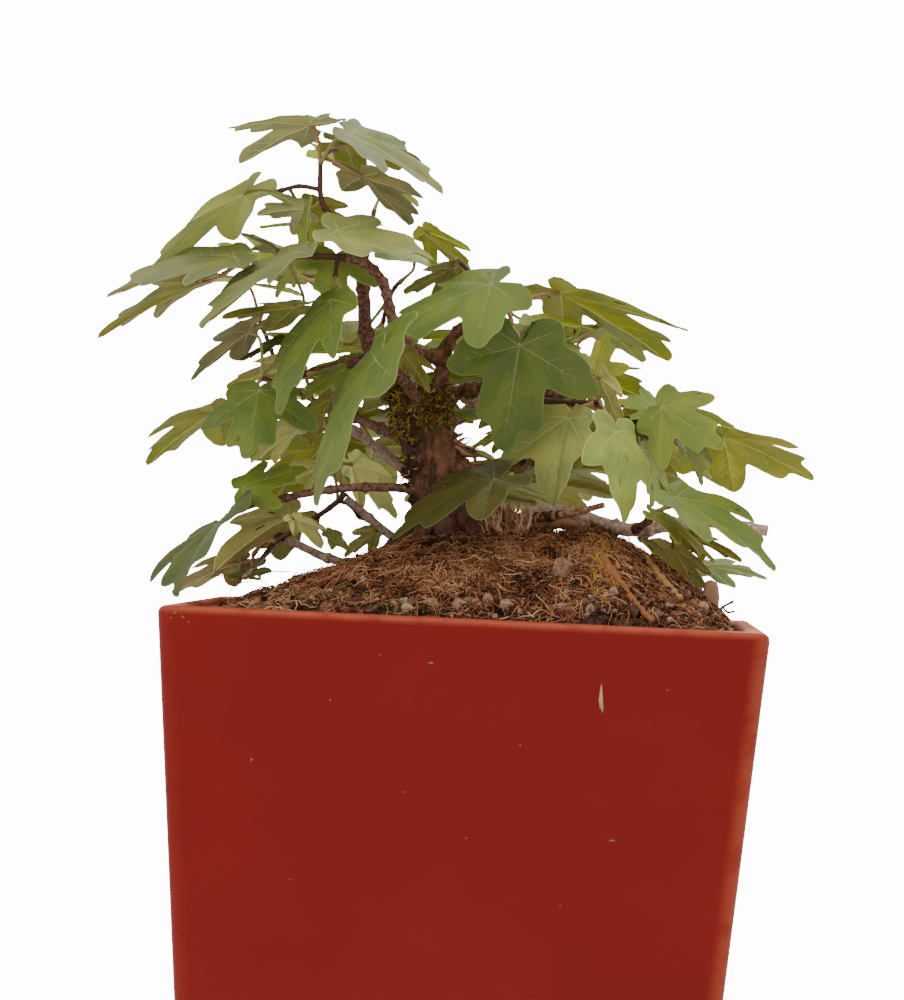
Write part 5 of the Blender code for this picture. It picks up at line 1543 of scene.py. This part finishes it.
STALK_TONES = {"0": (96, 60, 44), "1": (150, 104, 74), "2": (184, 138, 98), "3": (170, 156, 94)}
settle(stalks.make("twigs", plains("stalk", STALK_TONES, 0.5, 0.35)), "foliage")

# The leaves
# Field maple blades: five blunt lobes, the middle one waisted with two rounded shoulders, pale veins and
# margin. Each is a thin closed skin, green above, some bluish with a painted sheen of the sky, and olive
# below, painted paler as light that shines through; each is arched, folded and rippled in its own way, with
# its veins laid on both sides.
BLADE_THICKNESS = 0.26 * MM
MARGIN = 0.008
# The outline from the tip to the foot: the angle round the foot, and the reach as a share of the length
HALF_OUTLINE = [(0, 1.0), (2.5, 0.992), (4.5, 0.965), (6.2, 0.92), (7.6, 0.872), (9, 0.83), (10.8, 0.806),
                (13.5, 0.8), (16.5, 0.808), (19.5, 0.812), (22, 0.79), (24, 0.745), (26, 0.68),
                (28.5, 0.605), (31, 0.545), (34, 0.492), (37, 0.465), (40, 0.485), (42.5, 0.525),
                (45, 0.585), (48, 0.655), (50.5, 0.71), (53, 0.755), (56, 0.798), (59, 0.82), (62, 0.82),
                (65, 0.79), (67.5, 0.745), (70.5, 0.705), (74, 0.67), (77.5, 0.61), (81, 0.53),
                (84.5, 0.46), (88, 0.43), (93, 0.435), (99, 0.455), (106, 0.465), (113, 0.455),
                (121, 0.41), (130, 0.34), (141, 0.26), (154, 0.175), (167, 0.11), (180, 0.07)]
# Rings between the margin and the foot
SHARES = [0.94, 0.85, 0.73, 0.6, 0.47, 0.34, 0.22, 0.1]
NOTCHES = (37, 86, 150)
# A middle lobe without shoulders narrows from its tip to this angle, by this share of the length
WHOLE_FROM = 28.5
WHOLE_LOSS = 0.395
# Rings of a blade that may have small brown spots, and the share of their faces that do
SPOT_RINGS = range(2, 7)
SPOT_SHARE = 0.003
# Noise above which a patch has the second shade, and below which it has the third
SECOND_ABOVE = 0.12
THIRD_BELOW = -0.22
# Half the width of an unlobed leaf, as a share of its length
ROUND_HALF = 0.33
VEIN_TURNS = (LOBE_TURN, 106)
# A main vein's and a side vein's half width in shares of the length, and their rise in millimetres
VEIN = (0.0085, 0.11)
SIDE_VEIN = (0.0042, 0.055)
VEIN_FOOT = 0.03
# Side veins of a long main vein and of a short one: where they leave it, at what angle and how far they run
SIDE_VEINS = ((0.36, 42, 0.24), (0.55, 40, 0.22), (0.72, 38, 0.14))
SHORT_SIDE_VEINS = ((0.45, 40, 0.12),)


def marked(mark, angle, share):
    """The outline's reach at an angle, as a leaf's mark changes it."""
    if mark == "r":
        turn = math.radians(min(angle, 88))
        ahead, aside = math.cos(turn), math.sin(turn) / ROUND_HALF
        return max(0.08, 2 * ahead / (4 * ahead ** 2 + aside ** 2))
    if mark == "n":
        return share * (0.76 if 14 < angle < 50 else 0.84 if 70 < angle < 100 else 1)
    if mark and angle < WHOLE_FROM:
        return 1 - WHOLE_LOSS * (angle / WHOLE_FROM) ** 1.3
    if mark == "b" and angle < 55:
        return max(share, 1 - WHOLE_LOSS)
    return share


def rim_of(form):
    """The blade's outline in shares of its length, counted round from the tip."""
    out = []
    for index, side in enumerate((1, -1)):
        for angle, share in HALF_OUTLINE if side > 0 else HALF_OUTLINE[-2:0:-1]:
            share = marked(form["mark"], angle, share)
            for lobe in (0, 1):
                low, high = NOTCHES[lobe:lobe + 2]
                if low < angle < high:
                    hill = math.sin(math.pi * (angle - low) / (high - low))
                    share *= 1 + (form["lobes"][2 * lobe + index] - 1) * hill
            turn = math.radians(opened(angle, form["spread"][index])) * side
            spot = Vector((share * math.cos(turn), share * math.sin(turn), form["wave"]))
            spot *= 1 + 0.05 * noise.noise(Vector((spot.x * 5, spot.y * 5, form["wave"] * 9)))
            out.append((spot.x, spot.y))
    return out


def vein_turns(form):
    """The five main veins: their angle and how far they run."""
    veins = [(0, 0.96)]
    for index, side in enumerate((1, -1)):
        wide = form["spread"][index]
        veins.append((side * opened(VEIN_TURNS[0], wide), 0.78 * form["lobes"][index]))
        veins.append((side * opened(VEIN_TURNS[1], wide), 0.4))
    return veins


def surface(form, along, across):
    """The blade's height: its arch and fold, sunk a little at each vein, with a low swell between."""
    far = math.hypot(along, across)
    turn = math.atan2(across, along)
    off = min(abs(turn - math.radians(vein)) for vein, _ in vein_turns(form)) * far
    quilt = 0.026 * (1 - math.exp(-off / 0.06)) * min(1, far * 3)
    crinkle = 0.016 * noise.noise(Vector((along * 6, across * 6, form["wave"] * 5)))
    return bend(form, along, across) + quilt + crinkle


def vein_line(start, lean, span, steps):
    """Places along a vein on the flat blade."""
    return [(start[0] + math.cos(lean) * span * t / steps, start[1] + math.sin(lean) * span * t / steps)
            for t in range(steps + 1)]


def vein_lines(form):
    """Each vein as a line on the flat blade, with its half width and rise."""
    lines = []
    for turn, reach in vein_turns(form):
        lean = math.radians(turn)
        lines.append((vein_line((0, 0), lean, reach, 9), VEIN))
        for share, angle, run in SIDE_VEINS if reach > 0.5 else SHORT_SIDE_VEINS:
            start = (math.cos(lean) * reach * share, math.sin(lean) * reach * share)
            span = run * (1.2 if turn == 0 else 0.75)
            for hand in (-1, 1):
                lines.append((vein_line(start, math.radians(turn + hand * angle), span, 4), SIDE_VEIN))
    return lines


def blade_mesh(batch, frame_of, form, top, under):
    """Adds a blade. From the marks top and under, three shades and the veins' tone follow for each side."""
    root, axis, side, normal, length = frame_of
    rim = rim_of(form)
    count = len(rim)
    inset = []
    for k in range(count):
        (ax, ay), (bx, by) = rim[k - 1], rim[(k + 1) % count]
        run = math.hypot(bx - ax, by - ay)
        inset.append((rim[k][0] - (by - ay) / run * MARGIN, rim[k][1] + (bx - ax) / run * MARGIN))
    rings = [rim, inset] + [[(x * s, y * s) for x, y in inset] for s in SHARES]
    points = []
    for lift in (0.5, -0.5):
        for ring in rings:
            for along, across in ring:
                height = surface(form, along, across)
                points.append(root + (axis * along + side * across + normal * height) * length
                              + normal * BLADE_THICKNESS * lift)
        points.append(root + normal * (surface(form, 0, 0) * length + BLADE_THICKNESS * lift))
    layer = len(rings) * count + 1
    rng = random.Random(form["wave"])
    faces, marks = [], []
    drift = form["wave"] * 3
    for layer_number, base in enumerate((top, under)):
        start = layer_number * layer
        for ring in range(len(rings)):
            for k in range(count):
                ahead = (k + 1) % count
                outer, outer_ahead = start + ring * count + k, start + ring * count + ahead
                if ring + 1 < len(rings):
                    face = (outer, outer_ahead, outer_ahead + count, outer + count)
                else:
                    face = (outer, outer_ahead, start + layer - 1)
                faces.append(face if layer_number == 0 else tuple(reversed(face)))
                along, across = rings[ring][k]
                patch = noise.noise(Vector((along * 3.2, across * 3.2, drift)))
                if ring == 0 and base == top:
                    marks.append(base + 3)
                elif ring in SPOT_RINGS and rng.random() < SPOT_SHARE:
                    marks.append(SPOT)
                else:
                    marks.append(base + (1 if patch > SECOND_ABOVE else 2 if patch < THIRD_BELOW else 0))
    skin = BVHTree.FromPolygons(points, faces)
    for k in range(count):
        ahead = (k + 1) % count
        faces.append((k, layer + k, layer + ahead, ahead))
        marks.append(top + 3)
    batch.add(points, faces, marks)
    for line, (width, ridge) in vein_lines(form):
        for lift, mark in ((1, top + 3), (-1, under + 3)):
            made = []
            for t, (along, across) in enumerate(line):
                ahead = line[min(t + 1, len(line) - 1)]
                behind = line[max(t - 1, 0)]
                run = math.hypot(ahead[0] - behind[0], ahead[1] - behind[1])
                cross = (-(ahead[1] - behind[1]) / run, (ahead[0] - behind[0]) / run)
                wide = width * (1 - 0.75 * t / (len(line) - 1))
                crest = ridge if lift > 0 else 2 * ridge
                for off, rise in ((-wide, VEIN_FOOT), (0.0, crest), (wide, VEIN_FOOT)):
                    a, b = along + cross[0] * off, across + cross[1] * off
                    spot = root + (axis * a + side * b + normal * surface(form, a, b)) * length
                    hit = skin.ray_cast(spot + normal * lift * 3 * MM, -normal * lift, 6 * MM)[0]
                    made.append((hit or spot) + normal * rise * MM * lift)
            last = 3 * (len(line) - 1)
            edges = [(3 * t + one, 3 * t + two)
                     for t in range(len(line) - 1) for one, two in ((0, 1), (1, 2), (2, 0))]
            if lift > 0:
                quads = [(a, a + 3, b + 3, b) for a, b in edges] + [(0, 1, 2), (last + 2, last + 1, last)]
            else:
                quads = [(a, b, b + 3, a + 3) for a, b in edges] + [(2, 1, 0), (last, last + 1, last + 2)]
            batch.add(made, quads, mark, False)


# Tones of upper sides and undersides, as the photograph shows them, with light and shade painted in: the
# darkest tops are painted shade on leaves that lie in shade, the grey-green tops a painted sheen of the sky
# on blades seen at a slant, and the undersides, far paler than their own olive, painted light that shines
# through
TOPS = {"g": (104, 118, 46), "b": (136, 142, 82), "d": (110, 124, 42), "y": (142, 146, 44),
        "r": (150, 162, 72), "p": (158, 162, 90), "n": (86, 82, 30), "c": (128, 138, 56),
        "q": (176, 188, 104), "h": (125, 128, 73), "e": (88, 100, 36), "s": (64, 68, 22),
        "x": (80, 90, 27)}
UNDERS = {"o": (184, 184, 74), "k": (138, 134, 60), "l": (214, 210, 120), "m": (160, 156, 66),
          "a": (168, 156, 106), "v": (204, 208, 80), "w": (248, 248, 150), "p": (194, 190, 128)}
# A blade's own green, a bluer and darker patch, and a yellower and lighter one
SHADES = [(1, 1, 1), (0.83, 0.9, 1.0), (1.17, 1.12, 1.02)]
materials, index = [], {}
for kind, tones in (("top_", TOPS), ("under_", UNDERS)):
    for key, tone in tones.items():
        index[kind + key] = len(materials)
        for shade, shares in enumerate(SHADES):
            color = tuple(min(c * share, 1) for c, share in zip(srgb(*tone), shares))
            materials.append(plain("leaf_" + kind + key + str(shade), color, 0.5, 0.22))
        color = tuple(min(c * 1.35 + 0.03, 1) for c in srgb(*tone))
        materials.append(plain("vein_" + kind + key, color, 0.5, 0.3))
materials.append(plain("leaf_spot", srgb(112, 82, 38), 0.6))
SPOT = len(materials) - 1
GROUPS = {"leaves_front": ["foliage_front", "foliage_front_low", "foliage_upper_middle", "foliage_right",
                           "foliage_right_low"],
          "leaves_left": ["foliage_apex", "foliage_upper_left", "foliage_left", "foliage_low_left",
                          "foliage_ground"],
          "leaves_right": ["foliage_far_right", "foliage_right_rear", "foliage_low_rear"],
          "leaves_rear": list(REAR)}
for group, members in GROUPS.items():
    leaves = Batch()
    for mass in masses:
        if mass["name"] in members:
            for frame_of, form, _, tones in mass["leaves"]:
                form["mark"] = tones[2:]
                blade_mesh(leaves, frame_of, form, index["top_" + tones[0]], index["under_" + tones[1]])
    settle(leaves.make(group, materials), "foliage", *members)
